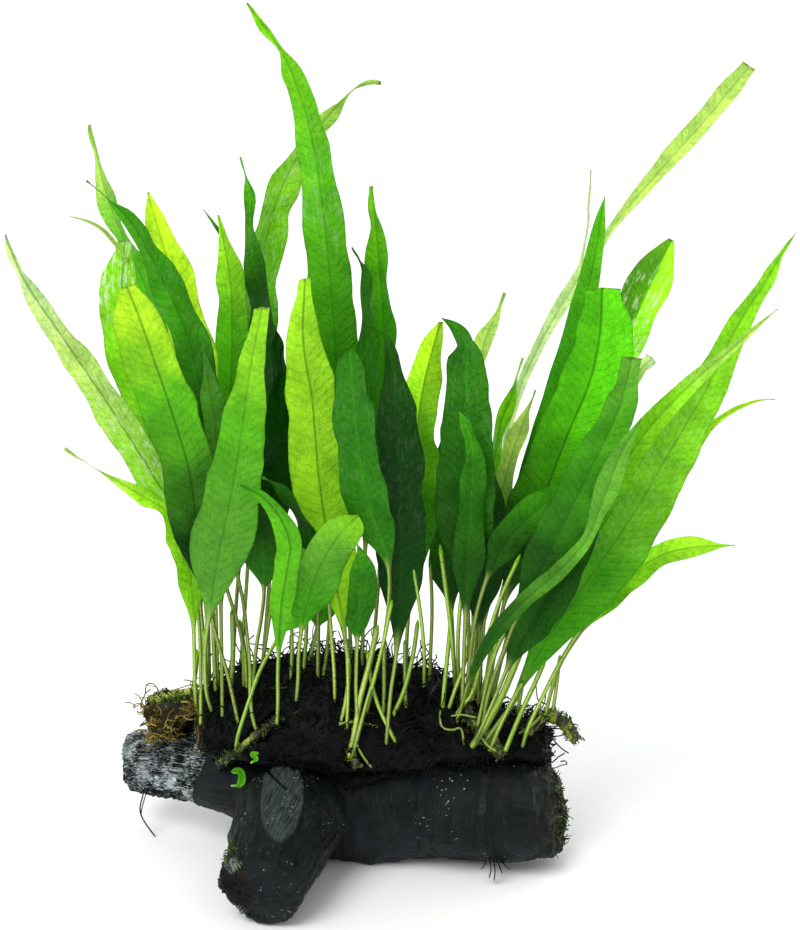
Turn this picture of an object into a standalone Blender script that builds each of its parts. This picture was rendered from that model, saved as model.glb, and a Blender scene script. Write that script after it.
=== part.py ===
"""Java fern growing on a piece of driftwood.

The fern is drawn as it looks from in front: each frond's spine is a list of points on a
sketch sheet that stands square to a line of sight tilted a little downwards. The fronds
fan out in layers from front to back, and stand on rhizomes and a mat of roots.
X runs along the driftwood, Y away from the viewer, Z up. The floor is Z = 0.
"""
import math

import bmesh
import bpy
from mathutils import Vector
from mathutils.bvhtree import BVHTree

MM = 0.001
GAP = 0.3 * MM

# The sketch sheet: one step across or down it is PIXEL at the plant's middle
PIXEL = 0.29 * MM
SHEET_CENTRE = (400, 465)
SIGHT_TILT = math.radians(20)
SIGHT_DISTANCE = 1000 * MM
SHEET_POINT = Vector((14.5, 0, 125.5)) * MM

# The fan: how far apart in depth two layers stand, at the roots and at the top
ROOT_STEP = 1.5 * MM
TOP_STEP = 7.5 * MM
SPREAD_CURVE = 1.3
FAN_CENTRE = 2 * MM
ROOT_ROW = 760
TOP_ROW = 0

# Fronds
STALK_WIDTH = 1.5 * MM
STALK_THICKNESS = 1.2 * MM
BLADE_SWELL = 0.30
BLADE_THICKNESS = 1.1 * MM
FOLD = 0.16
FROND_STATIONS = 12
STEM_CLEARANCE = 0.6 * MM
ROOT_NARROWING = 0.35
ROOT_REACH = 0.1 * MM
TIP_REACH = 0.8 * MM
TIP_START = 0.8
TIP_THINNING = 0.75

# Wood, in millimetres: x, y, z of the heart and its radius
TRUNK_LINE = ((-31, 7, 19, 18), (-20, 6, 18.5, 21), (0, 6, 18.5, 22), (22, 4, 19, 21.5),
              (42, -1, 19, 20.5), (52, -4, 19, 19.5), (58, -5, 21, 16.5))
LEFT_LINE = ((-20, 8, 22, 13), (-34, 12, 23, 14.5), (-46, 18, 22, 13.5), (-58, 24, 20, 11),
             (-67, 28.5, 18, 9.2))
FRONT_LINE = ((-13, 2, 20, 14), (-16, -8, 20, 16), (-20.5, -24, 17, 15.5), (-23.5, -37, 14.5, 13.7),
              (-26, -48, 12, 11.8))
WOOD_SIDES = 22
WOOD_RINGS = 13
WOOD_RELIEF = 0.055

# Root mats, in millimetres: x, y, z of the heart, half width across and half height
MAT_LINE = ((-41, 8, 36, 16, 13), (-30, 6, 40, 20, 20), (-10, 4, 41, 23.5, 22), (10, 3, 41, 24.5, 22),
            (26, 2, 42, 24, 23), (38, 1, 38, 22.5, 17), (50, -1, 36, 18, 12), (58, -3, 35, 9, 7))
LEFT_MAT_LINE = ((-64, 27, 24, 6, 5), (-58, 25, 26, 10, 9), (-50, 21, 29, 12, 11),
                 (-45.5, 18, 30, 10, 12))
MAT_SIDES = 20
MAT_RINGS = 15
MAT_RELIEF = 0.08
END_BULGE = 0.28

# Rhizomes, by column, row and depth on the sketch sheet, with their radius
RHIZOMES = {
    "rhizome_left": (2.6, ((150, 701, 21), (168, 696, 19), (192, 692, 17))),
    "rhizome_front": (2.7, ((218, 765, -12), (238, 750, -14), (258, 733, -13), (282, 718, -10),
                            (318, 714, -9))),
    "rhizome_middle": (2.4, ((328, 716, -11), (340, 731, -15), (350, 750, -18), (358, 768, -20))),
    "rhizome_right": (3.0, ((462, 697, -5), (468, 714, -10), (484, 732, -15), (502, 756, -20))),
    "rhizome_end": (2.6, ((526, 731, -10), (545, 716, -5), (562, 722, -8), (577, 740, -12))),
}
RHIZOME_SIDES = 8
RHIZOME_RINGS = 9
RHIZOME_RELIEF = 0.05

# Fronds: layer (front is negative), width in millimetres, the stalk's share of the length,
# how blunt the tip is, turn of the blade in degrees, and the spine by column and row, with
# a depth in millimetres where a point leaves its layer. A root with a depth of its own is
# set on the face that the viewer sees, and any other on the highest surface.
FRONDS = {
    "frond_far_left": (-2.5, 10.8, 0.28, 2.4, 24, (
        (200, 690), (200, 640), (193, 575), (179, 520), (152, 474), (121, 424), (89, 376),
        (56, 328), (24, 280), (5, 235))),
    "frond_low_left": (-4.2, 9.7, 0.30, 2.2, -26, (
        (197, 710, 3), (195, 690, -4), (194, 640), (192, 595), (186, 552), (168, 514), (142, 496),
        (102, 472), (65, 448))),
    "frond_left_olive": (4.6, 12.3, 0.30, 3.0, 32, (
        (206, 690), (202, 620), (190, 540), (165, 470), (140, 410))),
    "frond_left_broad": (1.2, 13.5, 0.25, 5, 22, (
        (208, 690), (205, 600), (187, 500), (155, 420), (130, 350), (122, 290), (126, 241))),
    "frond_left_bright": (-6.0, 15.7, 0.26, 5, 16, (
        (238, 694), (228, 676), (219, 646), (212, 618), (205, 580), (198, 530), (189, 470),
        (173, 415), (156, 365), (141, 322), (127, 287))),
    "frond_left_arch": (-1.0, 12.6, 0.24, 2.4, -34, (
        (244, 690), (242, 640), (231, 602), (222, 570), (213, 510), (205, 420), (190, 345),
        (165, 285), (135, 228), (110, 200), (87, 180))),
    "frond_left_thin": (6.2, 9.9, 0.30, 2.2, 50, (
        (210, 690), (205, 560), (185, 420), (150, 300), (120, 230), (105, 190), (98, 160),
        (89, 125))),
    "frond_left_yellow": (1.6, 12.5, 0.30, 3.4, 28, (
        (218, 690), (214, 560), (205, 430), (188, 330), (168, 260), (147, 193))),
    "frond_front_left": (-8.2, 18.4, 0.26, 1.7, -12, (
        (212, 712, -8), (206, 690, -13), (205, 650), (210, 610), (217, 560), (228, 510),
        (237, 460), (243, 420), (250, 370), (262, 308))),
    "frond_left_grey": (-4.0, 11.4, 0.30, 3, -30, (
        (222, 690), (220, 560), (216, 440), (210, 390), (203, 347))),
    "frond_left_mid": (3.2, 12.9, 0.30, 3, -26, (
        (256, 729, -11), (252, 715, -12), (250, 690, -10), (250, 668, -6), (247, 635, -2),
        (243, 600), (236, 560), (229, 430), (232, 350), (230, 280), (218, 215))),
    "frond_left_tall": (5.4, 11.7, 0.30, 2.2, 42, (
        (232, 690), (240, 560), (262, 400), (262, 310), (250, 240), (250, 200), (240, 157))),
    "frond_behind": (7.6, 12.1, 0.30, 2.2, -44, (
        (240, 690), (248, 560), (255, 400), (258, 290), (275, 205), (305, 145), (345, 98),
        (365, 84), (381, 84))),
    "frond_darkest": (1.0, 11.4, 0.30, 3, -40, (
        (262, 690), (268, 600), (275, 500), (280, 400), (275, 325))),
    "frond_front_arch": (-11.0, 10.4, 0.26, 2.2, 18, (
        (277, 724, -14), (278, 700, -14), (278, 670, -15), (281, 610), (287, 570), (290, 545),
        (280, 518), (262, 497), (240, 485))),
    "frond_front_blunt": (-6.8, 11.4, 0.58, 6.0, 24, (
        (236, 746, -17), (239, 732, -20), (248, 704, -18), (259, 673, -14), (271, 650, -11),
        (287, 620), (296, 590), (302, 548))),
    "frond_round_tip": (-9.8, 13.6, 0.38, 6.0, -20, (
        (296, 705, -14), (298, 680, -14), (299, 650), (305, 610), (318, 570), (335, 540),
        (358, 515))),
    "frond_round_dark": (-3.2, 12.0, 0.55, 5.0, 30, (
        (252, 690), (256, 650), (261, 620), (264, 590), (262, 540), (255, 500))),
    "frond_folded": (-4.6, 7.5, 0.42, 2.2, 52, (
        (318, 690), (318, 600), (312, 545), (300, 515), (282, 490), (262, 478))),
    "frond_centre_lime": (-1.6, 16.3, 0.20, 3.2, -16, (
        (346, 738, -21), (348, 700, -16), (347, 655, -9), (341, 612), (333, 570), (326, 530),
        (318, 470), (312, 400), (303, 340), (305, 279))),
    "frond_tallest": (2.0, 14.4, 0.22, 2.2, 22, (
        (352, 690), (348, 600), (342, 500), (338, 400), (332, 300), (322, 200), (310, 130),
        (298, 90), (285, 58), (265, 28), (246, 4))),
    "frond_curled_tip": (0.2, 10.8, 0.28, 2.6, -46, (
        (362, 690), (365, 560), (368, 420), (366, 330), (367, 290), (362, 265), (353, 247))),
    "frond_centre_narrow": (4.2, 10.8, 0.28, 2.4, 46, (
        (372, 690), (380, 560), (385, 430), (384, 330), (379, 260), (375, 220), (371, 186))),
    "frond_centre_dark": (-6.2, 14.6, 0.22, 3.6, -24, (
        (386, 747, -22), (388, 722, -22), (391, 690, -19), (396, 655, -16), (400, 600), (400, 560),
        (400, 480), (395, 400), (388, 335))),
    "frond_centre_olive": (-8.8, 13.6, 0.45, 4.0, 26, (
        (352, 757, -23), (358, 735, -24), (366, 705, -20), (376, 672, -17), (384, 640), (389, 600),
        (389, 570), (384, 545), (372, 515), (362, 470), (355, 410), (350, 350))),
    "frond_small_mid": (-10.4, 9.9, 0.50, 3.5, -28, (
        (358, 742, -22), (357, 715, -21), (356, 680), (358, 620), (362, 580), (358, 545))),
    "frond_small_back": (-0.6, 9.4, 0.45, 3, -30, (
        (306, 690), (312, 650), (322, 610), (338, 580))),
    "frond_centre_yellow": (-2.2, 12.3, 0.26, 3.4, 32, (
        (405, 690), (408, 620), (415, 560), (420, 480), (418, 430), (425, 380), (440, 322))),
    "frond_right_round": (-5.0, 17.3, 0.26, 2.6, 14, (
        (470, 690), (468, 600), (467, 520), (467, 440), (467, 380), (466, 345), (455, 327),
        (441, 318))),
    "frond_right_lapped": (-7.0, 9.6, 0.30, 3, -32, (
        (462, 700), (466, 600), (470, 520), (472, 450), (460, 412))),
    "frond_right_olive": (0.8, 12.0, 0.30, 3.4, 30, (
        (455, 700), (452, 620), (447, 540), (445, 480), (448, 430))),
    "frond_right_low_dark": (-3.0, 11.2, 0.30, 3, -28, (
        (478, 700), (480, 600), (490, 520), (487, 452))),
    "frond_right_pale_tip": (3.2, 8.1, 0.30, 2.2, 50, (
        (475, 690), (472, 560), (470, 420), (482, 350), (505, 293))),
    "frond_right_fork": (1.8, 7.8, 0.30, 2.4, -48, (
        (480, 690), (484, 560), (497, 440), (512, 395), (523, 358))),
    "frond_right_tall": (7.6, 6.2, 0.25, 9.0, 42, (
        (478, 690), (486, 600), (495, 520), (512, 415), (537, 350), (573, 287), (615, 224),
        (666, 164), (708, 117), (750, 66))),
    "frond_thin_spear": (8.4, 3.5, 0.30, 2, 52, (
        (468, 690), (490, 600), (540, 450), (583, 250), (588, 205), (590, 170))),
    "frond_right_spear": (1.2, 10.5, 0.25, 2.4, 34, (
        (482, 695), (500, 600), (535, 480), (565, 380), (583, 310), (595, 255), (604, 197))),
    "frond_right_bright": (-1.6, 20.5, 0.25, 6.5, -16, (
        (485, 700), (505, 600), (535, 520), (565, 440), (590, 380), (600, 330), (602, 288))),
    "frond_right_glossy": (3.4, 12.3, 0.25, 5, 26, (
        (490, 700), (515, 610), (560, 500), (600, 400), (630, 330), (655, 275), (672, 240))),
    "frond_right_grey": (-12.9, 13.2, 0.28, 3.4, -12, (
        (483, 725, -16), (486, 705, -18), (491, 685, -19), (502, 655), (520, 610), (560, 530),
        (600, 450), (620, 405), (632, 358))),
    "frond_right_clear": (-0.2, 9.1, 0.35, 2.6, 40, (
        (470, 690), (480, 600), (500, 500), (512, 455), (535, 390))),
    "frond_right_diagonal": (-6.4, 10.5, 0.42, 2.6, -20, (
        (465, 690), (475, 620), (495, 560), (525, 520), (570, 485), (609, 452))),
    "frond_right_twist": (-14.8, 9.4, 0.14, 3, -8, (
        (456, 724, -14), (462, 705, -14), (470, 680), (490, 640), (520, 605), (560, 570),
        (583, 545), (592, 528), (603, 500), (620, 455), (640, 422))),
    "frond_right_deep": (-11.9, 14.6, 0.32, 3.0, 18, (
        (473, 746, -22), (482, 727, -24), (494, 700, -23), (507, 669, -22), (523, 633), (540, 605),
        (575, 545), (600, 480))),
    "frond_right_large": (-8.2, 18.6, 0.09, 1.5, -14, (
        (490, 750, -24), (500, 726, -23), (513, 700, -20), (528, 672), (550, 635), (582, 588),
        (612, 546), (640, 503), (672, 448), (706, 390), (730, 340), (748, 308), (764, 285),
        (780, 257), (797, 232))),
    "frond_right_edge": (-7.0, 8.6, 0.35, 2.6, -36, (
        (522, 748, -13), (528, 728, -17), (542, 698, -17), (570, 645), (620, 572), (660, 500),
        (690, 445), (725, 415), (755, 402), (775, 400))),
    "frond_right_low": (-4.8, 10.0, 0.35, 2.4, 30, (
        (545, 705), (560, 665), (590, 620), (625, 580), (660, 556), (695, 547), (735, 545))),
    "frond_right_back": (-9.9, 9.2, 0.22, 2.0, 14, (
        (478, 700), (493, 660), (513, 620), (547, 577), (590, 520), (640, 440), (688, 387),
        (728, 352), (763, 321), (777, 309))),
}

# Young plants that lie on the fork of the wood: width in millimetres, then columns and rows
PLANTLETS = {
    "plantlet_lower": (2.6, ((231, 786), (239, 785), (242, 778), (239, 771), (231, 772))),
    "plantlet_upper": (1.7, ((251, 763), (256, 759), (252, 754), (259, 753))),
}
PLANTLET_CLEARANCE = 2.4 * MM
PLANTLET_STALK = 0.1
PLANTLET_BLUNTNESS = 2

ACROSS = Vector((1, 0, 0))
UPWARD = Vector((0, math.sin(SIGHT_TILT), math.cos(SIGHT_TILT)))
FORWARD = Vector((0, math.cos(SIGHT_TILT), -math.sin(SIGHT_TILT)))
EYE = SHEET_POINT - SIGHT_DISTANCE * FORWARD


def clear_scene():
    for old in list(bpy.data.objects):
        bpy.data.objects.remove(old, do_unlink=True)


def finish_of(name, colour, roughness):
    """A plain finish for one kind of piece."""
    material = bpy.data.materials.get(name) or bpy.data.materials.new(name)
    material.use_nodes = True
    shader = material.node_tree.nodes["Principled BSDF"]
    shader.inputs["Base Color"].default_value = (*colour, 1)
    shader.inputs["Roughness"].default_value = roughness
    shader.inputs["Metallic"].default_value = 0
    return material


def sighted(column, row, depth):
    """The point at this depth that shows at this column and row of the sketch sheet."""
    across = (column - SHEET_CENTRE[0]) * PIXEL
    up = (SHEET_CENTRE[1] - row) * PIXEL
    ray = SHEET_POINT + across * ACROSS + up * UPWARD - EYE
    return EYE + ray * ((depth - EYE.y) / ray.y)


def layer_depth(layer, row):
    """Depth of a layer of the fan at this row: the layers spread apart towards the top."""
    rise = min(max((ROOT_ROW - row) / (ROOT_ROW - TOP_ROW), 0), 1)
    return FAN_CENTRE + layer * (ROOT_STEP + (TOP_STEP - ROOT_STEP) * rise ** SPREAD_CURVE)


def curve_through(points, count):
    """Points spread evenly along a smooth curve through the given ones, of any size."""
    rows = [Vector(p) for p in points]
    rows = [2 * rows[0] - rows[1]] + rows + [2 * rows[-1] - rows[-2]]
    fine = []
    for a, b, c, d in zip(rows, rows[1:], rows[2:], rows[3:]):
        for step in range(12):
            t = step / 12
            fine.append(0.5 * (2 * b + (c - a) * t + (2 * a - 5 * b + 4 * c - d) * t * t
                               + (3 * b - a - 3 * c + d) * t ** 3))
    fine.append(rows[-2])
    reach = [0.0]
    for a, b in zip(fine, fine[1:]):
        reach.append(reach[-1] + (b - a).length)
    spread = []
    k = 0
    for i in range(count):
        want = reach[-1] * i / (count - 1)
        while k < len(fine) - 2 and reach[k + 1] < want:
            k += 1
        share = (want - reach[k]) / max(reach[k + 1] - reach[k], 1e-12)
        spread.append(fine[k].lerp(fine[k + 1], min(share, 1)))
    return spread


def loft(name, rings, start_tip, end_tip, material):
    """A closed skin over rings of equal count, closed by a point beyond each end ring."""
    bm = bmesh.new()
    loops = [[bm.verts.new(p) for p in ring] for ring in rings]
    for low, high in zip(loops, loops[1:]):
        for i in range(len(low)):
            j = (i + 1) % len(low)
            bm.faces.new((low[i], low[j], high[j], high[i]))
    for ring, tip in ((loops[0], start_tip), (loops[-1], end_tip)):
        point = bm.verts.new(tip)
        for i in range(len(ring)):
            bm.faces.new((ring[i], ring[(i + 1) % len(ring)], point))
    bmesh.ops.triangulate(bm, faces=bm.faces)
    bmesh.ops.recalc_face_normals(bm, faces=bm.faces)
    mesh = bpy.data.meshes.new(name)
    bm.to_mesh(mesh)
    bm.free()
    piece = bpy.data.objects.new(name, mesh)
    bpy.context.scene.collection.objects.link(piece)
    piece.data.materials.append(material)
    return piece


def limb(name, line, rings, sides, relief, material, grow=0.0, on_floor=False, seed=0.0):
    """A lumpy limb along a line of hearts, with one or two half widths in millimetres."""
    stations = curve_through([row[:3] for row in line], rings)
    widths = curve_through([(row[3], row[-1], 0) for row in line], rings)
    skins = []
    for k, heart in enumerate(stations):
        ahead = stations[min(k + 1, rings - 1)] - stations[max(k - 1, 0)]
        ahead.normalize()
        side = ahead.cross(Vector((0, 0, 1))).normalized()
        top = side.cross(ahead).normalized()
        skin = []
        for i in range(sides):
            turn = 2 * math.pi * i / sides
            lump = (math.sin(3 * turn + 0.9 * k + seed) + 0.7 * math.sin(5 * turn - 1.3 * k + 2 * seed)
                    + 0.6 * math.sin(2 * turn + 2.1 * k + 3 * seed))
            scale = 1 + relief * lump / 2
            point = heart + side * (widths[k][0] * scale * math.cos(turn)) + top * (
                widths[k][1] * scale * math.sin(turn))
            point += (point - heart).normalized() * (grow / MM)
            if on_floor:
                point.z = max(point.z, 0)
            skin.append(point * MM)
        skins.append(skin)
    start_push = widths[0][1] * END_BULGE + grow / MM
    end_push = widths[-1][1] * END_BULGE + grow / MM
    start = stations[0] + (stations[0] - stations[1]).normalized() * start_push
    end = stations[-1] + (stations[-1] - stations[-2]).normalized() * end_push
    return loft(name, skins, start * MM, end * MM, material)


def cut_by(piece, cutter):
    """Cut a piece by a guide that isn't part of the model."""
    cutter.hide_render = True
    cutter.display_type = "WIRE"
    cut = piece.modifiers.new("cut_" + cutter.name, "BOOLEAN")
    cut.operation = "DIFFERENCE"
    cut.solver = "EXACT"
    cut.object = cutter


def build_wood():
    """The driftwood, parted at its two forks, and the guides that cut what lies on it."""
    wood = finish_of("dark_wood", (0.018, 0.024, 0.024), 0.45)
    lines = {"driftwood_front_branch": (FRONT_LINE, 2.0), "driftwood_left_branch": (LEFT_LINE, 4.4),
             "driftwood_trunk": (TRUNK_LINE, 0.7)}
    pieces = {}
    guides = {}
    for name, (line, seed) in lines.items():
        pieces[name] = limb(name, line, WOOD_RINGS, WOOD_SIDES, WOOD_RELIEF, wood, on_floor=True, seed=seed)
        guides[name] = limb("guide_" + name, line, WOOD_RINGS, WOOD_SIDES, WOOD_RELIEF, wood, grow=GAP,
                            seed=seed)
        guides[name].hide_render = True
        guides[name].display_type = "WIRE"
    cut_by(pieces["driftwood_front_branch"], guides["driftwood_trunk"])
    cut_by(pieces["driftwood_left_branch"], guides["driftwood_trunk"])
    cut_by(pieces["driftwood_left_branch"], guides["driftwood_front_branch"])
    return list(pieces.values()), list(guides.values())


def build_rhizomes():
    """The creeping stems that the fronds grow from, and the guides that bed them in the roots."""
    stem = finish_of("rhizome_green", (0.20, 0.26, 0.08), 0.5)
    pieces = []
    guides = []
    for k, (name, (radius, points)) in enumerate(RHIZOMES.items()):
        hearts = [sighted(column, row, depth * MM) / MM for column, row, depth in points]
        line = [(*heart, radius) for heart in hearts]
        shape = (line, RHIZOME_RINGS, RHIZOME_SIDES, RHIZOME_RELIEF, stem)
        pieces.append(limb(name, *shape, seed=k))
        guides.append(limb("guide_" + name, *shape, grow=GAP, seed=k))
    return pieces, guides


def build_mats(guides):
    """The two mats of roots, cut clear of the wood below and the rhizomes bedded in them."""
    roots = finish_of("root_brown", (0.035, 0.026, 0.017), 0.8)
    mats = [limb("root_mat", MAT_LINE, MAT_RINGS, MAT_SIDES, MAT_RELIEF, roots, seed=1.1),
            limb("root_mat_left", LEFT_MAT_LINE, MAT_RINGS // 2, MAT_SIDES // 2, MAT_RELIEF, roots, seed=2.6)]
    for mat in mats:
        for guide in guides:
            cut_by(mat, guide)
    return mats


def first_hit(start, heading, trees, clearance=STEM_CLEARANCE):
    """Where a line first meets one of the surfaces, drawn back by a clearance."""
    hits = [tree.ray_cast(start, heading) for tree in trees]
    reach = min(hit[3] for hit in hits if hit[0] is not None)
    return start + heading * (reach - clearance)


def rooted(root, on_face, trees):
    """The root set on the surface seen behind it, or else on the highest one under it."""
    if on_face:
        return first_hit(EYE, (root - EYE).normalized(), trees)
    return first_hit(Vector((root.x, root.y, SIGHT_DISTANCE)), Vector((0, 0, -1)), trees)


def half_width(t, width, share, blunt):
    """Half the frond's width at a share of its length: a thin stalk, then the blade."""
    stalk = STALK_WIDTH / 2
    if t <= share:
        return stalk
    u = (t - share) / (1 - share)
    swell = min(u / BLADE_SWELL, 1)
    swell = swell * swell * (3 - 2 * swell)
    taper = 1 - max(u - BLADE_SWELL, 0) ** blunt / (1 - BLADE_SWELL) ** blunt
    return stalk + (width / 2 - stalk) * swell * taper - 0.4 * stalk * u


def frond(name, spine, width, share, blunt, turn, material):
    """One frond along a spine of points, its blade folded to a shallow V along the midrib."""
    stations = curve_through(spine, FROND_STATIONS)
    rings = []
    for k, heart in enumerate(stations):
        t = k / (FROND_STATIONS - 1)
        ahead = (stations[min(k + 1, FROND_STATIONS - 1)] - stations[max(k - 1, 0)]).normalized()
        face = EYE - heart
        face = (face - ahead * face.dot(ahead)).normalized()
        side = ahead.cross(face)
        angle = math.radians(turn) * math.sin(math.pi / 2 * t)
        side, face = (side * math.cos(angle) + face * math.sin(angle),
                      face * math.cos(angle) - side * math.sin(angle))
        half = half_width(t, width, share, blunt)
        thick = (STALK_THICKNESS + (BLADE_THICKNESS - STALK_THICKNESS) * t) / 2
        thick *= 1 - TIP_THINNING * max(t - TIP_START, 0) / (1 - TIP_START)
        narrow = ROOT_NARROWING if k == 0 else 1
        raise_edge = face * (FOLD * max(half - STALK_WIDTH / 2, 0))
        rings.append([heart - side * half * narrow + raise_edge, heart - face * thick * narrow,
                      heart + side * half * narrow + raise_edge, heart + face * thick * narrow])
    start = stations[0] - (stations[1] - stations[0]).normalized() * ROOT_REACH
    end = stations[-1] + (stations[-1] - stations[-2]).normalized() * TIP_REACH
    return loft(name, rings, start, end, material)


def build_fronds(trees):
    """Every frond, standing on what carries it."""
    leaf = finish_of("leaf_green", (0.10, 0.36, 0.03), 0.35)
    for name, (layer, width, share, blunt, turn, sketch) in FRONDS.items():
        spine = [sighted(column, row, depth[0] * MM if depth else layer_depth(layer, row))
                 for column, row, *depth in sketch]
        spine[0] = rooted(spine[0], len(sketch[0]) == 3, trees)
        frond(name, spine, width * MM, share, blunt, turn, leaf)


def build_plantlets(trees):
    """The young plants that sprout in curls beside the front branch, on the faces seen there."""
    leaf = finish_of("young_green", (0.22, 0.55, 0.04), 0.35)
    for name, (width, points) in PLANTLETS.items():
        faces = [first_hit(EYE, (sighted(column, row, 0) - EYE).normalized(), trees, PLANTLET_CLEARANCE)
                 for column, row in points]
        depth = min(face.y for face in faces)
        spine = [sighted(column, row, depth) for column, row in points]
        frond(name, spine, width * MM, PLANTLET_STALK, PLANTLET_BLUNTNESS, 0, leaf)


def main():
    clear_scene()
    wood, wood_guides = build_wood()
    rhizomes, rhizome_guides = build_rhizomes()
    mats = build_mats(wood_guides + rhizome_guides)
    view = bpy.context.evaluated_depsgraph_get()
    trees = [BVHTree.FromObject(carrier, view) for carrier in wood + rhizomes + mats]
    build_fronds(trees)
    build_plantlets(trees)


main()
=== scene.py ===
"""Looks of the java fern on driftwood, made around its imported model.

Each frond is grown along the same drawn spine as its solid, by one Geometry Nodes tree. The
driftwood is one continuous skin over its three solids, with charred bark, a sawn knot, a crack
and open grain. Root mats are tangles of fine roots over a dark core, and the same tree grows the
moss on the rhizomes and the wood. Everything is in metres: X along the driftwood, Y away from the
viewer, Z up, floor at Z = 0.
"""

import math

import bmesh
import bpy
import numpy as np
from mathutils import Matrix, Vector, noise
from mathutils.bvhtree import BVHTree


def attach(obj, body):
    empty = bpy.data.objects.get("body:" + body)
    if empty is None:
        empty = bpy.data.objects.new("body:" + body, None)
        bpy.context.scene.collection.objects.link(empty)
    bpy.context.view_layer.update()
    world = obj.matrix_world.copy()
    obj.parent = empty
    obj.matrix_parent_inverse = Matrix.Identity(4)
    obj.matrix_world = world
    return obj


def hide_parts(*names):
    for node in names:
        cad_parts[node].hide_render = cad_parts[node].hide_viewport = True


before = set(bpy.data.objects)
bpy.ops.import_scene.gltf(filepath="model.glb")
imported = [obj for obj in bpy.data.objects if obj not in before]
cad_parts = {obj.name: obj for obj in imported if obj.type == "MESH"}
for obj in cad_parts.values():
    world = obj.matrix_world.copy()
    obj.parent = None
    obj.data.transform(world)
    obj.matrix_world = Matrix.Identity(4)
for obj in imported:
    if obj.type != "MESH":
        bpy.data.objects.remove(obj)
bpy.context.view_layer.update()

MM = 0.001

# The sketch sheet: one step across or down it is PIXEL at the plant's middle
PIXEL = 0.29 * MM
SHEET_CENTRE = (400, 465)
SHEET_ROWS = 930
SIGHT_TILT = math.radians(20)
SIGHT_DISTANCE = 1000 * MM
SHEET_POINT = Vector((14.5, 0, 125.5)) * MM
SENSOR = 36

ACROSS = Vector((1, 0, 0))
UPWARD = Vector((0, math.sin(SIGHT_TILT), math.cos(SIGHT_TILT)))
FORWARD = Vector((0, math.cos(SIGHT_TILT), -math.sin(SIGHT_TILT)))
EYE = SHEET_POINT - SIGHT_DISTANCE * FORWARD

# The fan: how far apart in depth two layers stand, at the roots and at the top
ROOT_STEP = 1.5 * MM
TOP_STEP = 7.5 * MM
SPREAD_CURVE = 1.3
FAN_CENTRE = 2 * MM
ROOT_ROW = 760
TOP_ROW = 0

# Fronds
STALK_WIDTH = 1.15 * MM
STALK_THICKNESS = 1.2 * MM
BLADE_SWELL = 0.30
BLADE_THICKNESS = 0.6 * MM
EDGE_THICKNESS = 0.35
FOLD = 0.16
MIDRIB_DEPTH = 0.35 * MM
MIDRIB_WIDTH = 1.3 * MM
RIPPLE = 1.0 * MM
RIPPLE_LENGTH = 21 * MM
WAVER = 0.22
ROUND_FROM = 3.9
SPINE_POINTS = 72
FROND_STATIONS = 96
FROND_AROUND = 30
ROOT_SINK = 1.6 * MM

# Colours of the fern, as they look in daylight, 0 to 255; glare is the pale tone of a painted highlight
TONES = {
    "ghost": (208, 230, 178), "pale": (184, 216, 104), "fresh": (180, 236, 48), "yellow": (203, 242, 44),
    "lime": (142, 214, 30), "vivid": (104, 212, 18), "bright": (96, 188, 20), "mid": (72, 166, 14),
    "green": (48, 128, 10), "deep": (32, 94, 8), "dark": (14, 72, 6), "grey": (92, 164, 46),
    "silver": (106, 180, 48), "olive": (70, 112, 24), "petiole": (172, 190, 96), "speckle": (50, 48, 14),
    "brown": (104, 76, 34), "glare": (236, 246, 214),
}
# How much the light in the tissue lifts a tone, and the brightest that it may get
LEAF_LIFT = 1.16
BRIGHTEST = 0.96
# How much of a leaf's light comes through it, and the millimetres from one side vein to the next
TRANSLUCENCE = 0.38
VEIN_STEP = 2.9

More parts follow.
